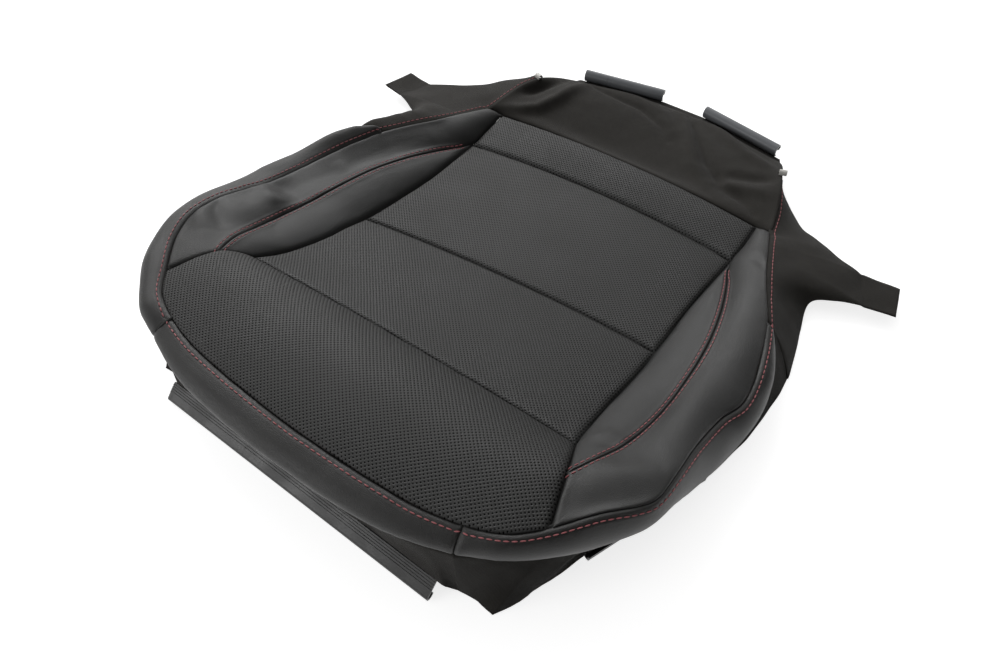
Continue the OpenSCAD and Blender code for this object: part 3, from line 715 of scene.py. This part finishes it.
# %% Front facing
low_rail = even(join(flip(front_low_half), front_low_half[::-1]))
seam_rail = tucked(even(join(flip(front_half), front_half[::-1])), 1)
for rail, corner in ((low_rail, facing_rail[-1]), (seam_rail, edge_rail["right"][-1])):
    rail[0], rail[-1] = flip(corner), corner
patch = Patch(
    low_rail, seam_rail, flip(upright_seam("left"))[::-1], upright_seam("right")[::-1],
    crown=[(0, 0), (0.2, 4), (0.8, 4), (1, 0)], power=(0, 0.7),
)
shaped = shape_panel(patch, grid_for(330, 28, 3.5), ("low", "top", *upright_ends), (40, 1.0), shift=5)
make_panel(
    "front_facing_leather", "front_facing", "facing_leather", shaped,
)

# %% Front band
band_rail = join(even(band_foot, 156), np.linspace(band_foot[-1], band_corner, 13))
patch = Patch(band_rail, even(join(flip(front_low_half), front_low_half[::-1])), crown=-2, power=(0.3, 0.8))
shaped = shape_panel(patch, grid_for(310, 50), ("free", "low", "free", "flat"), (25, 1.6), shift=3)
make_panel(
    "front_band_fabric", "front_band", "woven_fabric", shaped,
    wall=(FABRIC,),
)

# %% Side skirts
# The gusset's end swells as much as the skirt does where they meet
end_swell = {"left": 11, "right": 2}
end_lift = {"left": 0.8, "right": 0.0}
skirt_swell = [(0.4, 0), (0.48, -8), (0.68, -8), (0.76, -1), (1, 0)]
SKIRT_CLEAR = 0.6
SIDE_STEPS, FRONT_STEPS = 150, 30
skirt_foot = join(even(skirt_low_side, SIDE_STEPS), even(skirt_low_front, FRONT_STEPS))
# One row of the grid runs to the skirt's sharp corner
corner_row = SIDE_STEPS / (SIDE_STEPS + FRONT_STEPS)
skirt_grid = np.unique(np.append(rows(400), corner_row)), rows(40)
for word, side in SIDES.items():
    swell, lift = [(0, end_swell[word]), (0.15, 0), *skirt_swell], [(0, end_lift[word]), (0.15, 0)]
    patch = Patch(facing_rail, skirt_foot, crown=swell, power=(0, 0.9), lift=lift)
    shaped = shape_panel(patch, skirt_grid, ("low", "free", "flat", "flat"), (25, 1.6), shift=9 * side)
    shaped.places[..., 2] = np.maximum(shaped.places[..., 2], SKIRT_CLEAR)
    make_panel(
        f"side_skirt_fabric_{word}", f"side_skirt_{word}", "woven_fabric", shaped,
        side, wall=(FABRIC,),
    )
print("panels so far", len(panels))

# %% [markdown]
# ## Rear panel
# One fabric panel closes the rear. Its lines across change from round, at the insert, to
# three straight parts, along which the clips are sewn. Slack folds run across it.

# %% Lines of the rear panel
HEM_ROWS = 4
ROUND_STEPS, REAR_STEPS = 110, 60


def rear_line(k):
    u = np.linspace(-1, 1, ROUND_STEPS + 1)
    edge = np.where(u[:, None] > 0, rear_edge["right"][k], rear_edge["left"][k])
    rise = mix(1 - u**2, np.minimum(1, (1 - abs(u)) / 0.8), k / (len(rear_middle) - 1))
    line = mix(edge, np.array(rear_middle[k]), rise[:, None])
    line[:, 0] = u * edge[:, 0]
    return line


def rear_places():
    corner = np.array(corner_seam["right"][0])
    first = spread(smooth(np.vstack([flip(corner), cross_seam(3, 10), corner])), ROUND_STEPS)
    lines = [first] + [rear_line(k) for k in range(1, len(rear_middle))]
    columns = []
    for column in zip(*lines):
        hem = np.linspace(column[-2], column[-1], HEM_ROWS + 1)
        columns.append(join(even(column[:-1], REAR_STEPS), hem))
    return np.array(columns)


# %% Rear panel with its folds
# Each fold is a line (x, y), with a width and a height
folds = [
    ([(-176, 180), (-150, 194), (-135, 207), (-125, 233), (-118, 267), (-114, 284)], 8, 7.0),
    ([(-168, 214), (-157, 230), (-150, 250), (-142, 272)], 9, -10.0),
    ([(-126, 289), (-88, 286), (-37, 284), (-2, 270), (18, 252)], 4, -3.0),
    ([(-110, 300), (-60, 302), (-10, 292), (14, 268)], 8, 3.0),
    ([(16, 306), (30, 290), (52, 265), (73, 241), (106, 213), (131, 203), (154, 188)], 5, -5.0),
    ([(4, 308), (20, 290), (42, 258), (60, 232), (92, 204), (122, 190)], 8, 3.5),
    ([(36, 312), (66, 294), (105, 272), (144, 258)], 8, 5.0),
    ([(96, 230), (129, 234), (156, 240)], 7, -4.0),
    ([(96, 216), (128, 218), (156, 218)], 7, 3.0),
]
places = rear_places()
distances = edge_distances(places)
height = unevenness(places, 70, 1.6) + unevenness(places, 16, 0.4)
for points, width, rise in folds:
    height += crease(places, points, width, rise)
nearest = np.minimum.reduce(distances)
places = places + (height * freed(nearest, FOLD_FREE))[..., None] * grid_normals(places)
places[..., 2] -= roll(distances[0], "plain")
make_panel(
    "rear_panel_fabric", "rear_panel", "woven_fabric", bent(places, distances, nearest),
    wall=(FABRIC,),
)
print("folds", len(folds))

# %% [markdown]
# ## Gussets with their ears
# On each rear corner a fabric gusset spreads out and ends in a doubled ear. Gusset and ear
# are one mesh, and the ear is not folded.

# %% Gussets and ears
RIBS = 12
EAR_FIRST, EAR_ROWS = 5, 16
# How far the gusset swells, in mm, along its length
gusset_swell = {
    "left": [(0, 2), (0.5, 3), (0.72, 12), (0.9, 13), (1, end_swell["left"])],
    "right": [(0, 2), (0.5, 3), (0.9, 4), (1, end_swell["right"])],
}
for word, side in SIDES.items():
    sewn = tucked(smooth(join(corner_seam[word][::-1], [corner_seam[word][0], *gusset_sewn]), RIBS), -1)
    free_parts = gusset_rear[word] + gusset_front[:1], gusset_front[:2], gusset_front[1:]
    free_rail = join(*(smooth(part, RIBS) for part in free_parts))
    lift = [(0.55, 0), (0.8, end_lift[word])]
    patch = Patch(sewn, free_rail, crown=gusset_swell[word], power=(0, 0.9), lift=lift)
    grid = np.linspace(0, 1, len(free_rail)), rows(75)
    shaped = shape_panel(patch, grid, ("top", "free", "free", "flat"), (28, 2.0), shift=13 * side)
    shaped.places[..., 2] = np.maximum(shaped.places[..., 2], FABRIC + 0.2)
    root = shaped.places[EAR_FIRST * RIBS : (EAR_FIRST + 1) * RIBS + 1, -1]
    tip = np.linspace(*ear_tip, RIBS + 1)
    ear = mix(root[:, None], tip[:, None], np.linspace(0, 1, EAR_ROWS)[None, :, None])
    ear[:, 1:, 2] += (unevenness(ear, 22, 1.6, 3 * side) - 0.4)[:, 1:]
    bm = bmesh.new()
    add_grid(bm, shaped.places, shaped.nearest)
    add_grid(bm, ear)
    bmesh.ops.remove_doubles(bm, verts=bm.verts, dist=0.02 * MM)
    name = f"gusset_and_ear_{word}"
    piece = finish_mesh(name, bm, side)
    thicken(piece, FABRIC)
    outward = units(np.cross(root[-1] - root[0], (0, 0, 1))) * (side, 1, 1)
    outward *= np.sign(outward[0] * side) * MM
    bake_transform(piece)
    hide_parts(f"rear_gusset_{word}", f"ear_tab_{word}")
    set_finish(piece, "woven_fabric")
    declare_sheet([shaped.places, ear])
    panels[name] = shaped
print("panels so far", len(panels))

# %% [markdown]
# ## Seam allowances
# The edges of both panels go on for a few millimetres below each seam, folded into a
# narrow bundle. It fills the bottom of the groove, so nothing pale shows between panels.

# %% Seam allowances
BUNDLE, BUNDLE_SIDES = 1.8, 10
# The insert's own seams go on this far under the rear panel
ALLOWANCE_END = 184


def make_allowance(name, rail, kind, side=1):
    centre = rail + (ROLL[kind][0] + BUNDLE) * pull(rail, kind)
    turn = np.linspace(2 * math.pi, 0, BUNDLE_SIDES + 1)[None, :, None]
    places = centre[:, None] + BUNDLE * (np.cos(turn) * square_to(rail)[:, None] + np.sin(turn) * (0, 0, 1))
    bm = bmesh.new()
    add_grid(bm, places, seam=0)
    bmesh.ops.remove_doubles(bm, verts=bm.verts, dist=0.01 * MM)
    bmesh.ops.holes_fill(bm, edges=bm.edges, sides=BUNDLE_SIDES + 2)
    piece = finish_mesh(f"allowance_{name}", bm, side)
    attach(piece, "cover")
    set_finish(piece, "sewing_tape")


make_allowance("front", even(front_line, 300), "outer")
make_allowance("front_low", low_rail, "low")
for k, word in enumerate(("front", "middle", "rear", "end")):
    make_allowance(f"cross_{word}", spread(cross_seam(k), 60)[1:-1], "plain")
for word, side in SIDES.items():
    tip = np.linspace(insert_at(179) - (6, 0, 1), outer_rail[word][0], 12)
    for name, rail, kind in (
        ("insert", insert_at(np.linspace(cross_end(0, side), ALLOWANCE_END, 120)), "plain"),
        ("front_side", front_side(side), "plain"),
        ("double", double_rail, "double"),
        ("outer", outer_rail[word][2:], "outer"),
        ("corner", even(corner_seam[word])[2:-8], "plain"),
        ("tip", tip, "plain"),
        ("post", upright_seam(word)[2:-2], "post"),
        ("low", facing_rail, "low"),
    ):
        make_allowance(f"{name}_{word}", rail, kind, side)

# %% [markdown]
# ## Listings and tapes
# Fabric strips hang under the insert's seams and hold the rods that are clipped into the
# seat's foam. Short tapes carry the plastic profiles, and bend where a profile turns.

# %% Listings
LISTING_W, LISTING_T, FLOOR_CLEAR, ROD = 14, 0.4, 3.2, 2.4
HALF_APART = 0.35
LOOP = (ROD + LISTING_T) / 2 + 0.1
loop_turn = np.radians(np.linspace(-40, 220, 15))


def make_listing(name, rail, side=1):
    """A strip that hangs from a seam, goes round its rod and comes back up."""
    top = rail[:, 2] - LEATHER - LAYER_GAP - 1
    rod = np.maximum(rail[:, 2] - LISTING_W, FLOOR_CLEAR) - LAYER_GAP - ROD / 2
    leg = mix(rod, top, 0.4)
    apart = np.concatenate([[HALF_APART] * 2, LOOP * np.cos(loop_turn), [-HALF_APART] * 2])
    places = rail[:, None] + apart[None, :, None] * square_to(rail)[:, None]
    places[..., 2] = np.transpose([top, leg] + [rod - LOOP * np.sin(t) for t in loop_turn] + [leg, top])
    make_panel(
        f"listing_strip_{name}", f"listing_{name}", "listing_fabric", bent(places),
        side, wall=(LISTING_T, BOTH_WAYS),
    )


for k, word in enumerate(("front", "middle", "rear")):
    make_listing(word, spread(cross_seam(k), 48)[2:-2])
for word, side in SIDES.items():
    rail = insert_at(np.linspace(165, cross_end(0, side) + 8, 60))
    make_listing(word, rail, side)
print("panels so far", len(panels))

# %% Tapes
TAPE = 0.8
TAPE_POINTS, PATH_STEPS = 70, 24


def make_tape(name, word, side, ends, length, path):
    """A straight tape in the middle between the ends of its seam.

    The path across it is in (outwards, up), from what carries it to the profile. It bends
    between two steps of that path."""
    tail = f"_{word}" if word else ""
    first_end, last_end = np.array(ends, float)
    along = units(last_end - first_end)
    out = np.array([-along[1], along[0], 0.0])
    line = spread(smooth([(a, b, 0) for a, b in path]), PATH_STEPS)
    across = line[:, :1] * out + line[:, 1:2] * (0, 0, 1)
    s = np.linspace(-length / 2, length / 2, TAPE_POINTS)[:, None, None]
    places = (first_end + last_end) / 2 + s * along + across[None]
    bm = bmesh.new()
    add_grid(bm, places)
    piece = finish_mesh(f"{name}_strip{tail}", bm, side)
    thicken(piece, TAPE, BOTH_WAYS)
    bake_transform(piece)
    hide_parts(f"{name}_tape{tail}")
    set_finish(piece, "sewing_tape")
    declare_sheet([places])


make_tape(
    "front_retainer", "", 1, [(-151.5, 0, 0), (141.5, 0, 0)], 293,
    [(-307.4, 26), (-307.6, 17), (-308.2, 14.2), (-309.3, 12.9), (-315.8, 7.0)],
)
for word, side in SIDES.items():
    make_tape(
        "side_retainer", word, side, [(240.5, -151.5, 0), (214.5, -223.5, 0)], 72,
        [(0.5, 20), (0.6, 15.4), (1.7, 14.9), (2.8, 14.2), (3.0, 13), (3.0, 10)],
    )
    make_tape(
        "rear_clip", word, side, [(27, 321, 9.5), (129, 302, 9.5)], 98,
        [(-6, -2), (0.5, -1.8), (1.1, -0.8), (1.0, 0.2), (0.6, 1.6)],
    )

# %% [markdown]
# ## Topstitching
# The thread is real geometry: every stitch is a small ball, stretched along the row, that
# dips into the leather at both ends. The rows follow lines at a set distance from a
# panel's edge.

# %% Stitches
PITCH, STITCH, THREAD, STITCH_RISE = 5.6, 4.4, 1.05, 0.35
STITCH_SIDES, STITCH_RINGS = 8, 6
ROW_END = {"double": DOUBLE_END - 14, "top": math.inf}


def row_at(panel, edge, kind):
    """Places and normals of a row on a panel, beside its near (0) or far (1) edge."""
    order = slice(None) if edge == 0 else slice(None, None, -1)
    both = np.concatenate([panel.places, panel.normals], axis=2)[:, order]
    away = panel.distances[edge][:, order]
    line = np.array([read_at(ROW_AT[kind], s, column) for s, column in zip(away, both)])
    return line[line[:, 1] < ROW_END[kind]]


def add_stitches(bm, line):
    s = run(line[:, :3])
    for at in np.arange(PITCH / 2, s[-1] - PITCH / 2, PITCH):
        here, back, ahead = (read_at(at + d, s, line) for d in (0, -STITCH / 2, STITCH / 2))
        along = Vector(units(ahead[:3] - back[:3]))
        up = Vector(units(here[3:]))
        across = up.cross(along).normalized()
        turn = Matrix((across * THREAD / 2, up * THREAD / 2, along * STITCH / 2)).transposed().to_4x4()
        turn.translation = Vector(here[:3]) + STITCH_RISE * up
        place = Matrix.Diagonal((MM, MM, MM, 1)) @ turn
        bmesh.ops.create_uvsphere(
            bm, u_segments=STITCH_SIDES, v_segments=STITCH_RINGS, radius=1, matrix=place,
        )


def make_rows(name, kind, wanted, side=1):
    """One piece of thread for the rows on all the wanted (panel, edge)."""
    bm = bmesh.new()
    for panel, edge in wanted:
        add_stitches(bm, row_at(panels[panel], edge, kind))
    for face in bm.faces:
        face.smooth = True
    piece = finish_mesh(name, bm, side)
    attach(piece, "cover")
    return piece


threads = []
for word, side in SIDES.items():
    bolster = [(f"bolster_inner_leather_{word}", 1), (f"bolster_outer_leather_{word}", 0)]
    rim = [(f"side_facing_leather_{word}", 0), (f"gusset_and_ear_{word}", 0)]
    threads.append(make_rows(f"double_stitching_{word}", "double", bolster, side))
    threads.append(make_rows(f"side_stitching_{word}", "top", rim, side))
threads.append(make_rows("front_stitching", "top", [("front_facing_leather", 1)]))
corners = STITCH_SIDES * (STITCH_RINGS - 1) + 2
print("stitches", sum(len(thread.data.vertices) for thread in threads) // corners)

# %% [markdown]
# ## Node groups for the materials
# Each group has one job, such as a grain or a row of holes, and gives only heights and
# masks. Grains use the object's own coordinates. Whatever runs with the cloth uses its UV
# map, which is in metres. So scales are in features per metre, and depths in metres.

# %% Node helpers
FLOAT, VECTOR = "NodeSocketFloat", "NodeSocketVector"


class Tree:
    """Adds nodes to a tree. An input is a number, a colour or another node's socket."""

    def __init__(self, tree, shader=None):
        self.tree, self.shader = tree, shader

    def add(self, kind, inputs=(), **settings):
        node = self.tree.nodes.new(kind)
        for key, value in settings.items():
            setattr(node, key, value)
        self.fill(node.inputs, dict(inputs))
        return node

    def fill(self, sockets, values):
        for key, value in values.items():
            if isinstance(value, bpy.types.NodeSocket):
                self.tree.links.new(value, sockets[key])
            else:
                sockets[key].default_value = value

    def finish(self, values):
        """Feeds the shader at the end of the tree."""
        self.fill(self.shader, values)

    def math(self, operation, *values):
        return self.add("ShaderNodeMath", enumerate(values), operation=operation).outputs[0]

    def soft_step(self, value, low, high, first=0.0, second=1.0):
        """Goes smoothly from first to second as the value goes from low to high."""
        inputs = enumerate((value, low, high, first, second))
        return self.add("ShaderNodeMapRange", inputs, interpolation_type="SMOOTHSTEP").outputs[0]

    def noise(self, place, scale, detail=2.0, output=0):
        inputs = {"Vector": place, "Scale": scale, "Detail": detail}
        return self.add("ShaderNodeTexNoise", inputs).outputs[output]

    def colours(self, first, second, share):
        """Mixes two colours, each a triple or a socket."""
        ends = [c if isinstance(c, bpy.types.NodeSocket) else (*c, 1) for c in (first, second)]
        return self.add("ShaderNodeMix", {0: share, 6: ends[0], 7: ends[1]}, data_type="RGBA").outputs[2]

    def use(self, group, inputs):
        return self.add("ShaderNodeGroup", inputs, node_tree=bpy.data.node_groups[group]).outputs

    def relief(self, height, depth, normal=None):
        below = {} if normal is None else {"Normal": normal}
        inputs = {"Height": height, "Distance": depth, "Strength": 1.0, **below}
        return self.add("ShaderNodeBump", inputs).outputs[0]


def new_group(name, inputs, outputs):
    tree = bpy.data.node_groups.new(name, "ShaderNodeTree")
    for title, kind in inputs.items():
        tree.interface.new_socket(title, in_out="INPUT", socket_type=kind)
    for title in outputs:
        tree.interface.new_socket(title, in_out="OUTPUT", socket_type=FLOAT)
    group = Tree(tree)
    group.shader = group.add("NodeGroupOutput").inputs
    return group, group.add("NodeGroupInput").outputs


# %% Leather grain: warped cells, with creases between the pebbles
WOBBLE = 0.0012
WOBBLES, PEBBLES, DIMPLES, PATCHES = 500, 800, 260, 22
grain, given = new_group("leather_grain", {"Place": VECTOR}, ["Height", "Tone"])
place = given["Place"]
wobble = grain.noise(place, WOBBLES, output=1)
warp_inputs = {0: wobble, 1: (WOBBLE,) * 3, 2: place}
warped = grain.add("ShaderNodeVectorMath", warp_inputs, operation="MULTIPLY_ADD").outputs[0]
cells = {"Vector": warped, "Scale": PEBBLES}
to_crease = grain.add("ShaderNodeTexVoronoi", cells, feature="DISTANCE_TO_EDGE").outputs[0]
pebble = grain.soft_step(to_crease, 0.0, 0.3)
grain.finish({
    "Height": grain.math("MULTIPLY_ADD", grain.noise(place, DIMPLES), 0.5, pebble),
    "Tone": grain.soft_step(grain.noise(place, PATCHES, 4.0), 0.3, 0.7),
})

# %% Perforation: a lattice of holes, and one more in the middle of each of its cells
HOLE_X, HOLE_Y, HOLE_R = 3.85, 3.75, 0.54
HOLE_SOFT, RIM_IN, RIM_OUT = 0.1, 0.2, 0.7
holes, given = new_group("perforation", {"Map": VECTOR}, ["Hole", "Rim"])
flat = holes.add("ShaderNodeSeparateXYZ", {0: given["Map"]}).outputs


def squared_to_line(coordinate, pitch, shift):
    """Square of the distance in mm to the nearest line of the lattice."""
    turns = holes.math("MULTIPLY_ADD", coordinate, 1000 / pitch, shift)
    away = holes.math("MULTIPLY", holes.math("SUBTRACT", holes.math("FRACT", turns), 0.5), pitch)
    return holes.math("MULTIPLY", away, away)


to_holes = []
for shift in (0.0, 0.5):
    squares = (squared_to_line(flat[axis], pitch, shift) for axis, pitch in ((0, HOLE_X), (1, HOLE_Y)))
    to_holes.append(holes.math("SQRT", holes.math("ADD", *squares)))
to_hole = holes.math("MINIMUM", *to_holes)
holes.finish({
    "Hole": holes.soft_step(to_hole, HOLE_R + HOLE_SOFT, HOLE_R - HOLE_SOFT),
    "Rim": holes.soft_step(to_hole, HOLE_R - RIM_IN, HOLE_R + RIM_OUT),
})

# %% Weave: a twill, whose warp goes over two threads and under two
weave, given = new_group("weave", {"Map": VECTOR, "Threads per metre": FLOAT}, ["Height"])
flat = weave.add("ShaderNodeSeparateXYZ", {0: given["Map"]}).outputs
counts = [weave.math("MULTIPLY", flat[axis], given["Threads per metre"]) for axis in (0, 1)]
rounds = [weave.math("ABSOLUTE", weave.math("SINE", weave.math("MULTIPLY", c, math.pi))) for c in counts]
step = weave.math("ADD", *(weave.math("FLOOR", c) for c in counts))
over = weave.math("LESS_THAN", weave.math("FRACT", weave.math("MULTIPLY", step, 0.25)), 0.49)
warp, weft = (
    weave.math("MULTIPLY_ADD", b, 0.35, weave.math("MULTIPLY", a, 0.65)) for a, b in (rounds, rounds[::-1])
)
on_top = weave.add("ShaderNodeMix", {0: over, 2: weft, 3: warp}, data_type="FLOAT").outputs[0]
weave.finish({"Height": on_top})

# %% Scuffs: short fine scratches in two directions
scuffs, given = new_group("scuffs", {"Place": VECTOR}, ["Scratch"])
found = []
for turn in (0.5, 1.9):
    mapping = {"Vector": given["Place"], "Rotation": (0.3, 0.2, turn), "Scale": (1400, 60, 300)}
    stretched = scuffs.add("ShaderNodeMapping", mapping).outputs[0]
    found.append(scuffs.soft_step(scuffs.noise(stretched, 1.0), 0.62, 0.75))
scuffs.finish({"Scratch": scuffs.math("MAXIMUM", *found)})
print("node groups", [group.name for group in bpy.data.node_groups])

# %% [markdown]
# ## Materials
# The leather's gloss is broad, so most of what it shows is its dark pigment and a soft
# sheen. Beside a seam the leather is pulled tight and less rough, and its colour there is
# lighter in patches, which is painted sheen.

# %% What all materials share
looks = {}


def new_material(name, roughness, sheen=0.0, specular=0.5):
    made = bpy.data.materials.new(name)
    made.use_nodes = True
    tree = Tree(made.node_tree, made.node_tree.nodes["Principled BSDF"].inputs)
    tree.finish({
        "Roughness": roughness, "Specular IOR Level": specular, "Sheen Weight": sheen, "Sheen Roughness": 0.5,
    })
    tree.place = tree.add("ShaderNodeTexCoord").outputs["Object"]
    tree.map = tree.add("ShaderNodeUVMap").outputs[0]
    looks[name] = made
    return tree


# %% Leather
# Distances from a seam, in mm, over which the leather gets less rough and a lighter colour as painted sheen
SHINE_FROM, SHINE_TO = 9.0, 3.0
GRAIN_DEPTH, HOLE_DEPTH = 0.0001, 0.0003
# The holes are flat, so they are coloured nearly black: painted shade for the hollow inside them
HOLE_SHADE = (0.002,) * 3


def leather(name, dark, light, roughness, perforated=False):
    tree = new_material(name, roughness)
    grain = tree.use("leather_grain", {"Place": tree.place})
    from_seam = tree.add("ShaderNodeAttribute", attribute_name="seam").outputs["Fac"]
    # Near a seam the colour is lighter in patches, which is painted sheen, and the roughness is lower, which
    # is real
    by_seam = tree.soft_step(from_seam, SHINE_FROM, SHINE_TO)
    sheen_and_polish = tree.math("MULTIPLY", by_seam, tree.noise(tree.place, 60))
    tone = tree.math("ADD", tree.math("MULTIPLY", grain["Tone"], 0.7), tree.math("MULTIPLY", sheen_and_polish, 0.5))
    rough = tree.math("MULTIPLY_ADD", grain["Tone"], 0.08, roughness)
    colour = tree.colours(dark, light, tone)
    normal = tree.relief(grain["Height"], GRAIN_DEPTH)
    if perforated:
        hole = tree.use("perforation", {"Map": tree.map})
        # In the holes the colour is nearly black and the reflection weaker, as painted shade
        colour = tree.colours(colour, HOLE_SHADE, hole["Hole"])
        normal = tree.relief(hole["Rim"], HOLE_DEPTH, normal)
        tree.finish({"Specular IOR Level": tree.math("MULTIPLY_ADD", hole["Hole"], -0.5, 0.5)})
    polished = tree.math("SUBTRACT", rough, tree.math("MULTIPLY", sheen_and_polish, 0.1))
    tree.finish({"Base Color": colour, "Roughness": polished, "Normal": normal})


leather("smooth_leather", (0.016, 0.016, 0.0154), (0.025, 0.0248, 0.0238), 0.48)
leather("facing_leather", (0.016, 0.0155, 0.0148), (0.026, 0.0253, 0.0242), 0.47)
leather("perforated_leather", (0.021, 0.021, 0.0203), (0.031, 0.0308, 0.0296), 0.52, perforated=True)


# %% Cloth
def cloth(name, dark, light, threads_per_metre, depth, sheen=0.25):
    tree = new_material(name, 0.9, sheen=sheen, specular=0.2)
    height = tree.use("weave", {"Map": tree.map, "Threads per metre": threads_per_metre})["Height"]
    patchy, fuzz = tree.noise(tree.place, 180, 5.0), tree.noise(tree.place, 900)
    uneven = tree.math("MULTIPLY", tree.math("ADD", patchy, fuzz), 0.4)
    # The colour is darker where the weave lies low, between the threads, which is painted shade; the noise
    # adds uneven tone
    tree.finish({
        "Base Color": tree.colours(dark, light, tree.math("MULTIPLY_ADD", height, 0.35, uneven)),
        "Roughness": tree.soft_step(fuzz, 0.3, 0.7, 0.8, 0.95),
        "Normal": tree.relief(tree.math("MULTIPLY_ADD", fuzz, 0.5, height), depth),
    })


cloth("woven_fabric", (0.008, 0.0073, 0.0063), (0.034, 0.031, 0.0268), 1100, 0.0002, sheen=0.1)
cloth("listing_fabric", (0.02, 0.02, 0.02), (0.05, 0.05, 0.05), 1000, 0.0001)
cloth("sewing_tape", (0.008, 0.008, 0.008), (0.022, 0.022, 0.021), 900, 0.0002, sheen=0.1)


# %% Plastic
def plastic(name, dark, light, roughness, depth, end_colour=None):
    """Moulded or extruded plastic. Where an end colour is given, faces that look along x, such as a profile's
    ends, get that much paler colour.
    """
    tree = new_material(name, roughness)
    scratch = tree.use("scuffs", {"Place": tree.place})["Scratch"]
    fine, cloudy = tree.noise(tree.place, 1500), tree.noise(tree.place, 45, 3.0)
    colour = tree.colours(dark, light, tree.math("MULTIPLY_ADD", scratch, 0.5, cloudy))
    if end_colour is not None:
        facing_way = tree.add("ShaderNodeTexCoord").outputs["Normal"]
        sideways = tree.add("ShaderNodeSeparateXYZ", {0: facing_way}).outputs[0]
        at_end = tree.math("GREATER_THAN", tree.math("ABSOLUTE", sideways), 0.95)
        colour = tree.colours(colour, end_colour, at_end)
    dull = tree.soft_step(cloudy, 0.3, 0.7, roughness - 0.06, roughness + 0.06)
    tree.finish({
        "Base Color": colour,
        "Roughness": tree.math("MULTIPLY_ADD", scratch, 0.2, dull),
        "Normal": tree.relief(tree.math("SUBTRACT", fine, scratch), depth),
    })


plastic("retainer_plastic", (0.016, 0.016, 0.0157), (0.042, 0.042, 0.041), 0.38, 0.00002)
plastic("clip_plastic", (0.12, 0.127, 0.136), (0.16, 0.168, 0.178), 0.33, 0.00001, end_colour=(0.75, 0.75, 0.73))
plastic("white_plastic", (0.62, 0.6, 0.56), (0.75, 0.74, 0.7), 0.4, 0.00001)
plastic("listing_rod", (0.6, 0.6, 0.58), (0.72, 0.72, 0.7), 0.45, 0.00001)

# %% Foam and thread
# Open foam, full of little hollows, which are coloured darker as painted shade
tree = new_material("backing_foam", 0.95, sheen=0.1, specular=0.2)
pores = tree.add("ShaderNodeTexVoronoi", {"Vector": tree.place, "Scale": 1100}).outputs[0]
# Darker towards the middle of each pore: painted shade
foam_colour = tree.colours((0.34, 0.32, 0.26), (0.66, 0.63, 0.55), pores)
tree.finish({"Base Color": foam_colour, "Normal": tree.relief(pores, 0.0004)})

# Polyester thread, with its fine fibres
tree = new_material("red_thread", 0.5, sheen=0.3)
fibre = tree.noise(tree.place, 2500)
red = tree.colours((0.24, 0.045, 0.05), (0.50, 0.13, 0.14), fibre)
tree.finish({"Base Color": red, "Normal": tree.relief(fibre, 0.00006)})

# %% Dress every piece
carried = {
    "listing_rod": [f"rod_{word}" for word in ("front", "middle", "rear", "left", "right")],
    "white_plastic": ["corner_clip", "corner_clip_left"],
    "retainer_plastic": ["front_retainer", "side_retainer_left", "side_retainer_right"],
    "clip_plastic": ["rear_clip_left", "rear_clip_right"],
}
for look, names in carried.items():
    for name in names:
        node = frame["nodes"][name]
        node.data.materials.clear()
        node.data.materials.append(looks[look])
for piece in bpy.data.objects:
    if piece.type == "MESH" and "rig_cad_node" not in piece:
        look = "red_thread" if piece in threads else piece.get("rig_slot", "backing_foam")
        piece.data.materials.append(looks[look])
print("materials", len(looks))

# %% [markdown]
# ## Floor and light
# A large soft lamp behind on the left gives the leather its sheen, a smaller one lights the
# front, and a dome fills the rest, dim towards the front right. The camera sees the dome
# white. The floor adds enough of its own light for the camera to be white too, but it keeps
# the cover's shadow.

# %% Floor
FLOOR_SIZE, FLOOR_DROP, FLOOR_GLOW = 6, 0.0005, 0.8
bm = bmesh.new()
bmesh.ops.create_grid(bm, x_segments=1, y_segments=1, size=FLOOR_SIZE)
floor = finish_mesh("floor", bm)
floor.location.z = -FLOOR_DROP
tree = new_material("pale_floor", 0.9, specular=0.1)
rays = tree.add("ShaderNodeLightPath").outputs
seen = tree.math("MAXIMUM", rays["Is Camera Ray"], rays["Is Glossy Ray"])
tree.finish({
    "Base Color": (0.6, 0.6, 0.6, 1), "Emission Color": (1, 1, 1, 1),
    "Emission Strength": tree.math("MULTIPLY", seen, FLOOR_GLOW),
})
floor.data.materials.append(looks["pale_floor"])


# %% Lamps
def lamp(name, place, size, power):
    """A rectangle of light, turned to the middle of the cover."""
    data = bpy.data.lights.new(name, "AREA")
    data.shape = "RECTANGLE"
    data.size, data.size_y = size
    data.energy = power
    obj = bpy.data.objects.new(name, data)
    obj.location = place
    obj.rotation_mode = "QUATERNION"
    obj.rotation_quaternion = (-Vector(place)).to_track_quat("-Z", "Y")
    scene.collection.objects.link(obj)


lamp("key", (-1.3, 1.05, 1.25), (1.8, 0.9), 27)
lamp("front", (-0.9, -1.7, 0.7), (1.0, 0.6), 8)

# %% Dome
BRIGHT_SIDE = (-0.7, 0.35, 0.62)
DIM, BRIGHT = 0.04, 0.7
world = bpy.data.worlds.new("world")
scene.world = world
world.use_nodes = True
tree = Tree(world.node_tree, world.node_tree.nodes["Background"].inputs)
direction = tree.add("ShaderNodeTexCoord").outputs["Generated"]
lean = tree.add("ShaderNodeVectorMath", {0: direction, 1: BRIGHT_SIDE}, operation="DOT_PRODUCT")
dome = tree.soft_step(lean.outputs["Value"], -0.1, 0.95, DIM, BRIGHT)
seen = tree.add("ShaderNodeLightPath").outputs["Is Camera Ray"]
tree.finish({"Color": (1, 1, 1, 1), "Strength": tree.math("MAXIMUM", dome, seen)})
scene.view_settings.view_transform = "Standard"
